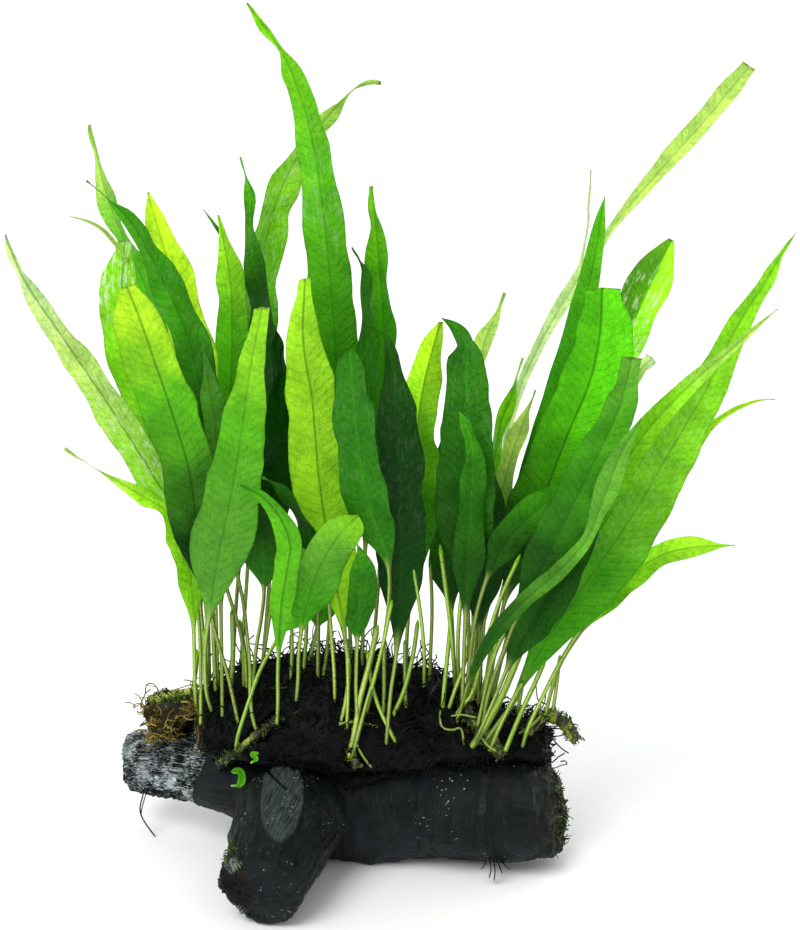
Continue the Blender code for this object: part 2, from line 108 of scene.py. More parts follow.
# Fronds: layer (front is negative), width in millimetres, the stalk's share of the length,
# how blunt the tip is, turn of the blade in degrees, tones of tip, middle and foot, and the
# spine by column and row, with a depth in millimetres where a point leaves its layer
FRONDS = {
    "frond_far_left": (-2.5, 10.8, 0.28, 2.4, 24, "ghost pale lime", (
        (200, 690), (200, 640), (193, 575), (179, 520), (152, 474), (121, 424), (89, 376),
        (56, 328), (24, 280), (5, 235))),
    "frond_low_left": (-4.2, 9.7, 0.30, 2.2, -26, "pale fresh lime", (
        (197, 710, 3), (195, 690, -4), (194, 640), (192, 595), (186, 552), (168, 514), (142, 496),
        (102, 472), (65, 448))),
    "frond_left_olive": (4.6, 12.3, 0.30, 3.0, 32, "lime olive olive", (
        (206, 690), (202, 620), (190, 540), (165, 470), (140, 410))),
    "frond_left_broad": (1.2, 13.5, 0.25, 5, 22, "lime lime lime", (
        (208, 690), (205, 600), (187, 500), (155, 420), (130, 350), (122, 290), (126, 241))),
    "frond_left_bright": (-6.0, 15.7, 0.26, 5, 16, "yellow bright dark", (
        (238, 694), (228, 676), (219, 646), (212, 618), (205, 580), (198, 530), (189, 470),
        (173, 415), (156, 365), (141, 322), (127, 287))),
    "frond_left_arch": (-1.0, 12.6, 0.24, 2.4, -34, "mid mid deep", (
        (244, 690), (242, 640), (231, 602), (222, 570), (213, 510), (205, 420), (190, 345),
        (165, 285), (135, 228), (110, 200), (87, 180))),
    "frond_left_thin": (6.2, 9.9, 0.30, 2.2, 50, "pale bright mid", (
        (210, 690), (205, 560), (185, 420), (150, 300), (120, 230), (105, 190), (98, 160),
        (89, 125))),
    "frond_left_yellow": (1.6, 12.5, 0.30, 3.4, 28, "yellow yellow yellow", (
        (218, 690), (214, 560), (205, 430), (188, 330), (168, 260), (147, 193))),
    "frond_front_left": (-8.2, 18.4, 0.26, 1.7, -12, "fresh bright grey", (
        (212, 712, -8), (206, 690, -13), (205, 650), (210, 610), (217, 560), (228, 510),
        (237, 460), (243, 420), (250, 370), (262, 308))),
    "frond_left_grey": (-4.0, 11.4, 0.30, 3, -30, "grey grey deep", (
        (222, 690), (220, 560), (216, 440), (210, 390), (203, 347))),
    "frond_left_mid": (3.2, 12.9, 0.30, 3, -26, "fresh bright green", (
        (256, 729, -11), (252, 715, -12), (250, 690, -10), (250, 668, -6), (247, 635, -2),
        (243, 600), (236, 560), (229, 430), (232, 350), (230, 280), (218, 215))),
    "frond_left_tall": (5.4, 11.7, 0.30, 2.2, 42, "bright deep dark", (
        (232, 690), (240, 560), (262, 400), (262, 310), (250, 240), (250, 200), (240, 157))),
    "frond_behind": (7.6, 12.1, 0.30, 2.2, -44, "pale lime mid", (
        (240, 690), (248, 560), (255, 400), (258, 290), (275, 205), (305, 145), (345, 98),
        (365, 84), (381, 84))),
    "frond_darkest": (1.0, 11.4, 0.30, 3, -40, "dark dark dark", (
        (262, 690), (268, 600), (275, 500), (280, 400), (275, 325))),
    "frond_front_arch": (-11.0, 10.4, 0.26, 2.2, 18, "mid bright bright", (
        (277, 724, -14), (278, 700, -14), (278, 670, -15), (281, 610), (287, 570), (290, 545),
        (280, 518), (262, 497), (240, 485))),
    "frond_front_blunt": (-6.8, 11.4, 0.58, 6.0, 24, "silver bright bright", (
        (236, 746, -17), (239, 732, -20), (248, 704, -18), (259, 673, -14), (271, 650, -11),
        (287, 620), (296, 590), (302, 548))),
    "frond_round_tip": (-9.8, 13.6, 0.38, 6.0, -20, "lime silver mid", (
        (296, 705, -14), (298, 680, -14), (299, 650), (305, 610), (318, 570), (335, 540),
        (358, 515))),
    "frond_round_dark": (-3.2, 12.0, 0.55, 5.0, 30, "deep deep green", (
        (252, 690), (256, 650), (261, 620), (264, 590), (262, 540), (255, 500))),
    "frond_folded": (-4.6, 7.5, 0.42, 2.2, 52, "green deep deep", (
        (318, 690), (318, 600), (312, 545), (300, 515), (282, 490), (262, 478))),
    "frond_centre_lime": (-1.6, 16.3, 0.20, 3.2, -16, "fresh fresh fresh", (
        (346, 738, -21), (348, 700, -16), (347, 655, -9), (341, 612), (333, 570), (326, 530),
        (318, 470), (312, 400), (303, 340), (305, 279))),
    "frond_tallest": (2.0, 14.4, 0.22, 2.2, 22, "lime bright green", (
        (352, 690), (348, 600), (342, 500), (338, 400), (332, 300), (322, 200), (310, 130),
        (298, 90), (285, 58), (265, 28), (246, 4))),
    "frond_curled_tip": (0.2, 10.8, 0.28, 2.6, -46, "deep green deep", (
        (362, 690), (365, 560), (368, 420), (366, 330), (367, 290), (362, 265), (353, 247))),
    "frond_centre_narrow": (4.2, 10.8, 0.28, 2.4, 46, "lime mid green", (
        (372, 690), (380, 560), (385, 430), (384, 330), (379, 260), (375, 220), (371, 186))),
    "frond_centre_dark": (-6.2, 14.6, 0.22, 3.6, -24, "deep dark dark", (
        (386, 747, -22), (388, 722, -22), (391, 690, -19), (396, 655, -16), (400, 600), (400, 560),
        (400, 480), (395, 400), (388, 335))),
    "frond_centre_olive": (-8.8, 13.6, 0.45, 4.0, 26, "green green green", (
        (352, 757, -23), (358, 735, -24), (366, 705, -20), (376, 672, -17), (384, 640), (389, 600),
        (389, 570), (384, 545), (372, 515), (362, 470), (355, 410), (350, 350))),
    "frond_small_mid": (-10.4, 9.9, 0.50, 3.5, -28, "mid green green", (
        (358, 742, -22), (357, 715, -21), (356, 680), (358, 620), (362, 580), (358, 545))),
    "frond_small_back": (-0.6, 9.4, 0.45, 3, -30, "mid mid mid", (
        (306, 690), (312, 650), (322, 610), (338, 580))),
    "frond_centre_yellow": (-2.2, 12.3, 0.26, 3.4, 32, "yellow lime mid", (
        (405, 690), (408, 620), (415, 560), (420, 480), (418, 430), (425, 380), (440, 322))),
    "frond_right_round": (-5.0, 17.3, 0.26, 2.6, 14, "green green deep", (
        (470, 690), (468, 600), (467, 520), (467, 440), (467, 380), (466, 345), (455, 327),
        (441, 318))),
    "frond_right_lapped": (-7.0, 9.6, 0.30, 3, -32, "mid green deep", (
        (462, 700), (466, 600), (470, 520), (472, 450), (460, 412))),
    "frond_right_olive": (0.8, 12.0, 0.30, 3.4, 30, "green green deep", (
        (455, 700), (452, 620), (447, 540), (445, 480), (448, 430))),
    "frond_right_low_dark": (-3.0, 11.2, 0.30, 3, -28, "deep deep dark", (
        (478, 700), (480, 600), (490, 520), (487, 452))),
    "frond_right_pale_tip": (3.2, 8.1, 0.30, 2.2, 50, "pale pale mid", (
        (475, 690), (472, 560), (470, 420), (482, 350), (505, 293))),
    "frond_right_fork": (1.8, 7.8, 0.30, 2.4, -48, "lime lime mid", (
        (480, 690), (484, 560), (497, 440), (512, 395), (523, 358))),
    "frond_right_tall": (7.6, 6.2, 0.25, 9.0, 42, "pale pale ghost", (
        (478, 690), (486, 600), (495, 520), (512, 415), (537, 350), (573, 287), (615, 224),
        (666, 164), (708, 117), (750, 66))),
    "frond_thin_spear": (8.4, 3.5, 0.30, 2, 52, "ghost ghost ghost", (
        (468, 690), (490, 600), (540, 450), (583, 250), (588, 205), (590, 170))),
    "frond_right_spear": (1.2, 10.5, 0.25, 2.4, 34, "bright mid green", (
        (482, 695), (500, 600), (535, 480), (565, 380), (583, 310), (595, 255), (604, 197))),
    "frond_right_bright": (-1.6, 20.5, 0.25, 6.5, -16, "vivid vivid deep", (
        (485, 700), (505, 600), (535, 520), (565, 440), (590, 380), (600, 330), (602, 288))),
    "frond_right_glossy": (3.4, 12.3, 0.25, 5, 26, "lime lime mid", (
        (490, 700), (515, 610), (560, 500), (600, 400), (630, 330), (655, 275), (672, 240))),
    "frond_right_grey": (-12.9, 13.2, 0.28, 3.4, -12, "silver mid deep", (
        (483, 725, -16), (486, 705, -18), (491, 685, -19), (502, 655), (520, 610), (560, 530),
        (600, 450), (620, 405), (632, 358))),
    "frond_right_clear": (-0.2, 9.1, 0.35, 2.6, 40, "pale pale mid", (
        (470, 690), (480, 600), (500, 500), (512, 455), (535, 390))),
    "frond_right_diagonal": (-6.4, 10.5, 0.42, 2.6, -20, "bright mid deep", (
        (465, 690), (475, 620), (495, 560), (525, 520), (570, 485), (609, 452))),
    "frond_right_twist": (-14.8, 9.4, 0.14, 3, -8, "silver silver deep", (
        (456, 724, -14), (462, 705, -14), (470, 680), (490, 640), (520, 605), (560, 570),
        (583, 545), (592, 528), (603, 500), (620, 455), (640, 422))),
    "frond_right_deep": (-11.9, 14.6, 0.32, 3.0, 18, "deep deep deep", (
        (473, 746, -22), (482, 727, -24), (494, 700, -23), (507, 669, -22), (523, 633), (540, 605),
        (575, 545), (600, 480))),
    "frond_right_large": (-8.2, 18.6, 0.09, 1.5, -14, "lime lime mid", (
        (490, 750, -24), (500, 726, -23), (513, 700, -20), (528, 672), (550, 635), (582, 588),
        (612, 546), (640, 503), (672, 448), (706, 390), (730, 340), (748, 308), (764, 285),
        (780, 257), (797, 232))),
    "frond_right_edge": (-7.0, 8.6, 0.35, 2.6, -36, "yellow lime lime", (
        (522, 748, -13), (528, 728, -17), (542, 698, -17), (570, 645), (620, 572), (660, 500),
        (690, 445), (725, 415), (755, 402), (775, 400))),
    "frond_right_low": (-4.8, 10.0, 0.35, 2.4, 30, "fresh fresh lime", (
        (545, 705), (560, 665), (590, 620), (625, 580), (660, 556), (695, 547), (735, 545))),
    "frond_right_back": (-9.9, 9.2, 0.22, 2.0, 14, "pale lime mid", (
        (478, 700), (493, 660), (513, 620), (547, 577), (590, 520), (640, 440), (688, 387),
        (728, 352), (763, 321), (777, 309))),
}

# Blades whose outline leaves the rule: (share of the blade, left side, right side), as shares of
# the rule's half width, straight in between. Both ends keep to the rule where none is given
OUTLINES = {
    "frond_tallest": ((0.72, 1, 1), (0.8, 0.95, 1.15), (0.855, 0.9, 1.1), (0.9, 0.25, 0.3),
                      (0.94, 1.2, 1.2)),
    "frond_far_left": ((0.8, 1, 1), (0.9, 0.9, 0.7), (0.95, 1.4, 1.4), (1, 1.5, 1.2)),
    "frond_behind": ((0.62, 1.25, 1.25), (0.78, 1.25, 1.3), (0.9, 0.7, 1.1), (0.94, 0.3, 0.5),
                     (0.97, 1.2, 1.2), (1, 0.8, 0.8)),
    "frond_left_thin": ((0.7, 1, 1), (0.82, 1.7, 1.3), (0.93, 1.9, 1.9), (1, 1.2, 1.2)),
    "frond_left_yellow": ((0.7, 1.2, 1.3), (0.85, 1.4, 1.9), (0.95, 1.5, 1.6)),
    "frond_centre_narrow": ((0.6, 1.1, 1), (0.8, 1.5, 1.2), (0.93, 1.6, 1.5)),
    "frond_right_spear": ((0.7, 1.1, 1.1), (0.88, 1.5, 1.5), (0.97, 1.9, 1.9), (1, 1.5, 1.5)),
    "frond_right_twist": ((0, 0.4, 0.4), (0.25, 0.45, 0.45), (0.5, 0.5, 0.5), (0.62, 0.33, 0.33),
                          (0.68, 0.5, 0.5), (0.8, 1.3, 1.3), (0.92, 1.5, 1.5)),
    "frond_front_arch": ((0, 0.5, 0.5), (0.3, 0.6, 0.6), (0.5, 0.8, 0.8), (0.7, 1, 1)),
    "frond_left_arch": ((0.75, 1.15, 1.1), (0.88, 0.8, 0.8), (0.94, 0.25, 0.25), (1, 0.3, 0.3)),
    "frond_left_mid": ((0.7, 1, 1), (0.85, 1.25, 1.25), (0.95, 1.2, 1.2)),
    "frond_left_tall": ((0.75, 0.9, 0.9), (0.83, 0.6, 0.9), (0.93, 0.9, 0.9), (1, 0.6, 0.6)),
    "frond_left_bright": ((0.45, 1, 1), (0.8, 1.25, 0.95), (0.94, 1.35, 1.2)),
    "frond_left_broad": ((0.6, 1.1, 1), (0.9, 1.25, 1.1)),
    "frond_front_left": ((0.25, 1, 1.05), (0.5, 0.95, 0.95), (0.8, 1, 1.1), (0.93, 1.3, 1.3),
                         (1, 1.6, 1.6)),
    "frond_centre_lime": ((0.6, 1.1, 1), (0.85, 1.25, 1.2), (0.96, 1.2, 1.2), (1, 1.2, 1.2)),
    "frond_right_bright": ((0.6, 0.9, 1), (0.9, 0.85, 1.15)),
    "frond_right_glossy": ((0.6, 0.8, 0.8), (0.8, 1.3, 1.25), (0.93, 1.5, 1.5), (1, 1.3, 1.3)),
    "frond_right_round": ((0.7, 1, 1), (0.8, 1.15, 1.2), (0.855, 1.15, 1.2), (0.885, 0.65, 0.65),
                          (0.93, 0.95, 0.95)),
    "frond_right_tall": ((0, 0.4, 0.4), (0.3, 0.45, 0.45), (0.47, 0.85, 0.85), (0.61, 0.45, 0.45),
                         (0.7, 0.85, 0.85), (0.78, 1.35, 1.35), (0.9, 1.65, 1.65), (1, 2.6, 2.6)),
    "frond_right_grey": ((0.7, 1, 1), (0.9, 1.25, 1.3), (0.97, 1.3, 1.3), (1, 2, 2)),
    "frond_right_large": ((0.5, 0.95, 1.08), (0.67, 0.85, 1), (0.825, 0.9, 1), (0.92, 1, 1.1),
                          (0.955, 0.3, 0.3), (0.98, 0.9, 0.9), (1, 1.2, 1.2)),
    "frond_right_edge": ((0.72, 1, 1), (0.82, 0.4, 0.4), (0.94, 0.35, 0.35), (1, 0.3, 0.3)),
    "frond_right_back": ((0.6, 1, 1), (0.85, 0.8, 0.8), (0.95, 0.7, 0.7), (1, 0.3, 0.3)),
    "frond_low_left": ((0.45, 1, 1), (0.57, 0.4, 0.4), (0.63, 0.85, 0.85), (0.72, 0.35, 0.35),
                       (0.8, 0.12, 0.12), (1, 0.1, 0.1)),
    "frond_curled_tip": ((0.85, 0.9, 0.9), (0.95, 0.45, 0.45), (1, 0.5, 0.5)),
    "frond_right_pale_tip": ((0.7, 1.5, 1.5), (0.9, 1.9, 1.9)),
    "frond_centre_yellow": ((0.7, 1.1, 1.2), (0.85, 1.5, 1.6), (0.95, 1.7, 1.8), (1, 1.2, 1.2)),
}
# Blades whose tip is cut straight: half the width of the cut
CUT_TIPS = {"frond_front_left": 2.3 * MM, "frond_centre_lime": 1.7 * MM, "frond_right_tall": 3.0 * MM,
            "frond_right_grey": 2.6 * MM, "frond_right_bright": 5.0 * MM, "frond_left_bright": 1.9 * MM,
            "frond_left_broad": 2.0 * MM, "frond_front_blunt": 2.6 * MM, "frond_right_glossy": 1.2 * MM}
# Blades with a painted glare, a pale highlight painted into their colour: from and to on the blade, and
# how strongly
PAINTED_GLARES = {
    "frond_left_broad": (0.72, 1.1, 1.0), "frond_right_glossy": (0.62, 0.97, 0.9),
    "frond_left_grey": (0.80, 0.97, 0.8), "frond_behind": (0.30, 0.90, 0.45),
    "frond_right_large": (0.30, 0.80, 0.12), "frond_tallest": (0.45, 0.80, 0.15),
    "frond_far_left": (0.10, 0.95, 0.6), "frond_right_tall": (0.05, 0.72, 0.5),
    "frond_centre_dark": (0.35, 0.95, 0.05), "frond_centre_olive": (0.25, 0.95, 0.04),
    "frond_right_round": (0.5, 1.0, 0.06), "frond_left_arch": (0.4, 0.9, 0.08),
}
# Over how much of the blade a painted glare comes and goes
PAINTED_GLARE_FADE = 0.12
# Blades with one half lighter than the other, painted light and shade on the flat blade: how much, above
# 0 where it is the right half
PAINTED_HALF_LIGHT = {"frond_right_glossy": 0.55, "frond_left_mid": -0.25, "frond_far_left": -0.12,
          "frond_left_arch": -0.2, "frond_centre_yellow": -0.2, "frond_tallest": -0.12,
          "frond_right_bright": 0.12}
# Blades with a strong midrib, and how strong
RIBS = {"frond_right_bright": 1.0, "frond_left_bright": 0.95, "frond_centre_lime": 0.9,
        "frond_far_left": 0.9, "frond_left_broad": 0.8, "frond_centre_yellow": 0.9,
        "frond_front_arch": 0.8}
# Stiff narrow blades, which don't waver
STRAIGHT = ("frond_right_tall", "frond_thin_spear", "frond_right_spear", "frond_right_back",
            "frond_right_edge")

# Stalks of fronds that were cut or hide behind others: width in millimetres, tone, then columns,
# rows and depths
STALKS = (
    (1.3, "lime", ((197, 650, -2), (196, 668, 0), (193, 690, 4))),
    (1.4, "lime", ((205, 630, 2), (205, 660, 2), (203, 692, 4))),
    (1.5, "grey", ((232, 610, -4), (233, 650, -3), (231, 690, -1))),
    (1.4, "grey", ((213, 610, 0), (214, 650, 1), (216, 692, 3))),
    (1.2, "mid", ((307, 600, -2), (306, 640, -2), (303, 676, -1))),
    (1.1, "mid", ((330, 610, 1), (327, 650, 1), (322, 684, 1))),
    (1.3, "pale", ((345, 640, -8), (349, 670, -11), (346, 700, -15), (341, 722, -17), (338, 731, -19))),
    (1.7, "pale", ((378, 625, -10), (369, 665, -15), (360, 700, -19), (355, 730, -22), (349, 757, -24))),
    (1.2, "lime", ((367, 650, -10), (371, 680, -14), (378, 705, -18), (388, 727, -21), (397, 745, -22))),
    (1.2, "mid", ((384, 640, -8), (384, 690, -13), (383, 717, -17))),
    (1.3, "lime", ((418, 620, -4), (413, 655, -8), (404, 690, -13), (391, 720, -17))),
    (1.2, "grey", ((405, 640, -5), (405, 675, -8), (406, 712, -15))),
    (1.3, "lime", ((452, 610, -4), (447, 660, -7), (444, 690, -9), (442, 717, -13))),
    (1.2, "pale", ((474, 620, -5), (464, 665, -8), (455, 690, -10), (447, 714, -13))),
    (1.2, "lime", ((484, 640, -6), (473, 690, -9), (463, 705, -11), (454, 718, -13))),
    (2.0, "lime", ((530, 628, -14), (511, 675, -18), (500, 700, -20), (486, 725, -22), (471, 748, -23))),
    (1.4, "mid", ((523, 680, -16), (515, 700, -18), (497, 725, -20), (485, 742, -22))),
    (1.2, "lime", ((525, 670, -10), (521, 692, -12), (517, 717, -15))),
    (1.4, "lime", ((545, 660, -12), (535, 683, -14), (520, 715, -18), (505, 751, -21))),
    (1.1, "pale", ((560, 655, -4), (556, 690, -6), (553, 710, -8))),
    (1.1, "grey", ((272, 600, 2), (266, 640, 1), (262, 668, 0))),
    (1.2, "lime", ((240, 620, 1), (245, 655, 0), (247, 688, -2))),
    (1.1, "grey", ((430, 560, 3), (432, 610, 2), (430, 668, 0))),
    (1.2, "lime", ((497, 640, -2), (487, 675, -5), (478, 704, -9))),
    (1.3, "lime", ((440, 545, -9), (446, 590, -9), (452, 640, -9), (456, 690, -10))),
    (1.2, "mid", ((470, 540, -14), (462, 590, -13), (458, 640, -12), (459, 692, -12))),
    (1.2, "lime", ((520, 555, -19), (500, 600, -18), (484, 650, -17), (472, 700, -15))),
    (1.2, "mid", ((548, 560, -17), (526, 605, -17), (503, 655, -16), (487, 705, -15))),
    (1.1, "lime", ((412, 560, -12), (420, 610, -12), (424, 650, -11), (424, 690, -11))),
    (1.1, "pale", ((328, 590, -12), (331, 630, -12), (334, 670, -13), (335, 705, -14))),
    (1.1, "mid", ((290, 600, -8), (292, 640, -9), (291, 680, -10))),
    (1.1, "lime", ((392, 600, -19), (384, 640, -19), (374, 680, -19), (366, 715, -20))),
)

# Bare tips that show beside the blades that hide the rest: width in millimetres, half width of
# the tip, tones, then columns, rows and depths
SLIVERS = (
    (1.5, 0.0, "ghost pale pale", ((128, 262, 6), (117, 246, 6), (103, 230, 5), (87, 221, 5),
                                   (69, 216, 5))),
    (1.5, 0.0, "mid green deep", ((232, 262, 28), (224, 240, 28), (214, 224, 27), (203, 209, 27))),
    (4.2, 1.7, "ghost pale lime", ((622, 398, -30), (630, 384, -31), (640, 370, -32), (652, 358, -33))),
)

# Bare roots and runners along the wood: width in millimetres, then columns and rows
RUNNERS = (
    (0.9, ((340, 724), (352, 722), (366, 724), (379, 727))),
    (0.8, ((443, 700), (440, 714), (442, 727), (452, 730), (461, 729), (464, 745))),
    (0.7, ((452, 716), (463, 715), (477, 718))),
    (0.8, ((480, 735), (487, 745), (497, 752))),
    (0.9, ((520, 733), (530, 727), (541, 716))),
    (0.8, ((352, 728), (357, 745), (364, 758), (372, 768))),
    (0.7, ((470, 700), (474, 692), (481, 690), (487, 697), (488, 712))),
)

# Hair roots that hang off the wood: width in millimetres, then columns, rows and depths
THREADS = (
    (0.45, ((146, 783, 16), (143, 795, 15), (140, 809, 14), (144, 821, 13), (157, 839, 12))),
    (0.35, ((149, 784, 17), (145, 797, 15), (142, 808, 14), (141, 816, 14))),
    (0.35, ((489, 858, -19), (491, 868, -20), (489, 879, -20))),
    (0.35, ((493, 858, -19), (495, 870, -20), (494, 882, -20))),
    (0.30, ((496, 858, -19), (500, 868, -20), (503, 874, -20))),
    (0.30, ((486, 858, -19), (484, 866, -20), (480, 870, -20))),
    (0.30, ((500, 860, -19), (507, 867, -20), (511, 870, -20))),
)

# Wood, in millimetres: x, y, z of the heart and its radius
TRUNK_LINE = ((-31, 7, 19, 18), (-20, 6, 18.5, 21), (0, 6, 18.5, 22), (22, 4, 19, 21.5),
              (42, -1, 19, 20.5), (52, -4, 19, 19.5), (58, -5, 21, 16.5))
LEFT_LINE = ((-20, 8, 22, 13), (-34, 12, 23, 14.5), (-46, 18, 22, 13.5), (-58, 24, 20, 11),
             (-67, 28.5, 18, 9.2))
FRONT_LINE = ((-13, 2, 20, 14), (-16, -8, 20, 16), (-20.5, -24, 17, 15.5), (-23.5, -37, 14.5, 13.7),
              (-26, -48, 12, 11.8))
WOOD_LINES = {"trunk": (TRUNK_LINE, 0.7), "left": (LEFT_LINE, 4.4), "front": (FRONT_LINE, 2.0)}
WOOD_NODES = ("driftwood_trunk", "driftwood_left_branch", "driftwood_front_branch")
WOOD_RELIEF = 0.055
WOOD_RINGS = 13
WOOD_SIDES = 44
WOOD_VOXEL = 0.55 * MM
END_BULGE = 0.28

# The sawn knot on the front branch: its middle by column and row, half its width and height, how
# deep behind its middle it may reach, and the crack across it with half its width
KNOT_SPOT = (282, 798)
KNOT_HALF_WIDTH = 6.2 * MM
KNOT_HALF_HEIGHT = 11.5 * MM
KNOT_DEPTH = 12 * MM
KNOT_CRACK = ((267, 770), (298, 799))
CRACK_HALF_WIDTH = 0.35 * MM

# Root mats: the solid's low edge is drawn into the wood, and at the left all below the top is
MAT_VOXEL = 0.9 * MM
LIP_TOP = 40 * MM
LIP_SHRINK = 3.2 * MM
LEFT_MAT_TOP = 38 * MM
LEFT_MAT_SHRINK = 5 * MM
# Golden roots start here at the left, and over how far they take over
GOLD_FROM = -43 * MM
GOLD_OVER = 9 * MM
# Roots on a mat: least upward slope and height of the faces they grow from, how many grow on a
# square metre, their reach, radius and curl in millimetres, and points along each
SHORT_ROOTS = {
    "root_mat": (-0.2, 26 * MM, 300000.0, 3.4, 0.23, 9.0, 8),
    "root_mat_left": (0.1, LEFT_MAT_TOP - 6 * MM, 1500000.0, 2.6, 0.17, 13.0, 9),
}
WIRY_ROOTS = (0.45, 30 * MM, 130000.0, 7.0, 0.2, 26.0, 12)

# Moss: threads on a square metre of rhizome and of wood, how much they curl, the least share of
# moss where it grows on the wood, and from what height
MOSS_TUFTS = 2600000.0
WOOD_MOSS = 700000.0
MOSS_CURL = 5.0 * MM
MOSSY = 0.4
MOSS_FROM = 6 * MM

# Rhizomes: radius in millimetres, how fresh and green, then columns, rows and depths
RHIZOMES = {
    "rhizome_left": (1.6, 0.9, ((150, 701, 21), (168, 696, 19), (192, 692, 17))),
    "rhizome_front": (1.15, 0.35, ((218, 765, -12), (238, 750, -14), (258, 733, -13), (282, 718, -10),
                            (318, 714, -9))),
    "rhizome_middle": (1.7, 0.15, ((328, 716, -11), (340, 731, -15), (350, 750, -18), (358, 768, -20))),
    "rhizome_right": (1.9, 0.3, ((462, 697, -5), (468, 714, -10), (484, 732, -15), (502, 756, -20))),
    "rhizome_end": (1.9, 0.35, ((526, 731, -10), (545, 716, -5), (562, 722, -8), (577, 740, -12))),
}

# Young plants on the fork of the wood: width in millimetres, then columns and rows
PLANTLETS = {
    "plantlet_lower": (2.6, ((231, 786), (239, 785), (242, 778), (239, 771), (231, 772))),
    "plantlet_upper": (1.7, ((251, 763), (256, 759), (252, 754), (259, 753))),
}
PLANTLET_CLEARANCE = 2.4 * MM

# Stage: half the floor's side in metres and its colour, the room's strength, and the lights: where
# each stands, its strength and how wide it looks in degrees
FLOOR_REACH = 3.0
FLOOR_TONE = (0.97, 0.97, 0.97, 1)
ROOM_STRENGTH = 0.84
LIGHTS = (("sky_window", (-0.45, -0.62, 0.90), 1.9, 34), ("back_window", (0.5, 0.75, 0.8), 0.5, 60))


def linear(tone):
    """A daylight colour, 0 to 255, as the scene's linear values; others stay as they are."""
    if not isinstance(tone, tuple) or len(tone) != 3:
        return tone
    values = [v / 255 for v in tone]
    return tuple(v / 12.92 if v < 0.04045 else ((v + 0.055) / 1.055) ** 2.4 for v in values) + (1,)


class Maker:
    """Adds nodes to one tree and wires them up."""

    def __init__(self, tree):
        self.tree = tree

    def plug(self, socket, value):
        """Links a socket to another one, or sets its value."""
        if isinstance(value, bpy.types.NodeSocket):
            self.tree.links.new(value, socket)
        else:
            socket.default_value = value

    def node(self, kind, settings=None, **values):
        """A node with its settings, and inputs named by the socket, spaces as underscores."""
        node = self.tree.nodes.new(kind)
        for name, value in (settings or {}).items():
            setattr(node, name, value)
        for name, value in values.items():
            label = name.replace("_", " ")
            socket = next(s for s in node.inputs if s.enabled and s.name == label)
            self.plug(socket, value)
        return node

    def math(self, operation, *values, clamp=False):
        """The result of one operation."""
        node = self.node("ShaderNodeMath", {"operation": operation, "use_clamp": clamp})
        for socket, value in zip(node.inputs, values):
            self.plug(socket, value)
        return node.outputs[0]

    def times(self, first, *others):
        """The product of two values or more."""
        for other in others:
            first = self.math("MULTIPLY", first, other)
        return first

    def plus(self, first, second, clamp=False):
        return self.math("ADD", first, second, clamp=clamp)

    def minus(self, first, second, clamp=False):
        return self.math("SUBTRACT", first, second, clamp=clamp)

    def vector(self, operation, *values, scale=None):
        """The result of one operation on vectors, a number where it gives one."""
        node = self.node("ShaderNodeVectorMath", {"operation": operation})
        for socket, value in zip(node.inputs, values):
            self.plug(socket, value)
        if scale is not None:
            self.plug(node.inputs["Scale"], scale)
        return node.outputs["Value" if operation in ("DOT_PRODUCT", "LENGTH", "DISTANCE") else "Vector"]

    def combine(self, x, y, z):
        """A vector from its three parts."""
        node = self.node("ShaderNodeCombineXYZ")
        for socket, value in zip(node.inputs, (x, y, z)):
            self.plug(socket, value)
        return node.outputs[0]

    def spread(self, value, low, high, to_low=0.0, to_high=1.0, smooth=True):
        """A value carried from one range to another, and held at its ends."""
        kind = "SMOOTHSTEP" if smooth else "LINEAR"
        node = self.node("ShaderNodeMapRange", {"interpolation_type": kind})
        for socket, number in zip(node.inputs[:5], (value, low, high, to_low, to_high)):
            self.plug(socket, number)
        return node.outputs[0]

    def noise(self, vector, scale, detail=3.0, roughness=0.5, distortion=0.0, output=0):
        """Soft noise: output 0 is its height, output 1 its colour."""
        node = self.node("ShaderNodeTexNoise", Vector=vector, Scale=scale, Detail=detail,
                         Roughness=roughness, Distortion=distortion)
        return node.outputs[output]

    def cells(self, vector, scale, feature="F1"):
        """How far each place is from the nearest cell's middle, or its edge."""
        node = self.node("ShaderNodeTexVoronoi", {"feature": feature}, Vector=vector, Scale=scale)
        return node.outputs["Distance"]

    def mix(self, factor, first, second, blend="MIX"):
        """The first colour, with this much of the second in it, each linear or 0 to 255."""
        node = self.node("ShaderNodeMix", {"data_type": "RGBA", "blend_type": blend})
        for socket, value in ((0, factor), (6, linear(first)), (7, linear(second))):
            self.plug(node.inputs[socket], value)
        return node.outputs[2]

    def ramp(self, value, stops):
        """Colours at places along a value."""
        node = self.node("ShaderNodeValToRGB", Fac=value)
        elements = node.color_ramp.elements
        while len(elements) < len(stops):
            elements.new(0.5)
        for element, (place, colour) in zip(elements, stops):
            element.position = place
            element.color = linear(colour)
        return node.outputs[0]

    def attribute(self, name, output="Fac"):
        """A value that the mesh carries."""
        return self.node("ShaderNodeAttribute", {"attribute_name": name}).outputs[output]


def coat(make, output, colour, rough, **more):
    """Ends a material with one coat of this colour and roughness."""
    surface = make.node("ShaderNodeBsdfPrincipled", Base_Color=colour, Roughness=rough, **more)
    make.plug(output.inputs["Surface"], surface.outputs[0])


def new_material(name):
    """An empty material, with its maker and its output node."""
    material = bpy.data.materials.new(name)
    material.use_nodes = True
    material.node_tree.nodes.clear()
    make = Maker(material.node_tree)
    return material, make, make.node("ShaderNodeOutputMaterial")


LEAVES = {}


def lit(tone):
    """A leaf tone in linear values, lifted for the light that the tissue lets through."""
    values = linear(TONES[tone])[:3]
    lift = min(LEAF_LIFT, BRIGHTEST / max(values))
    return tuple(v * lift for v in values) + (1,)


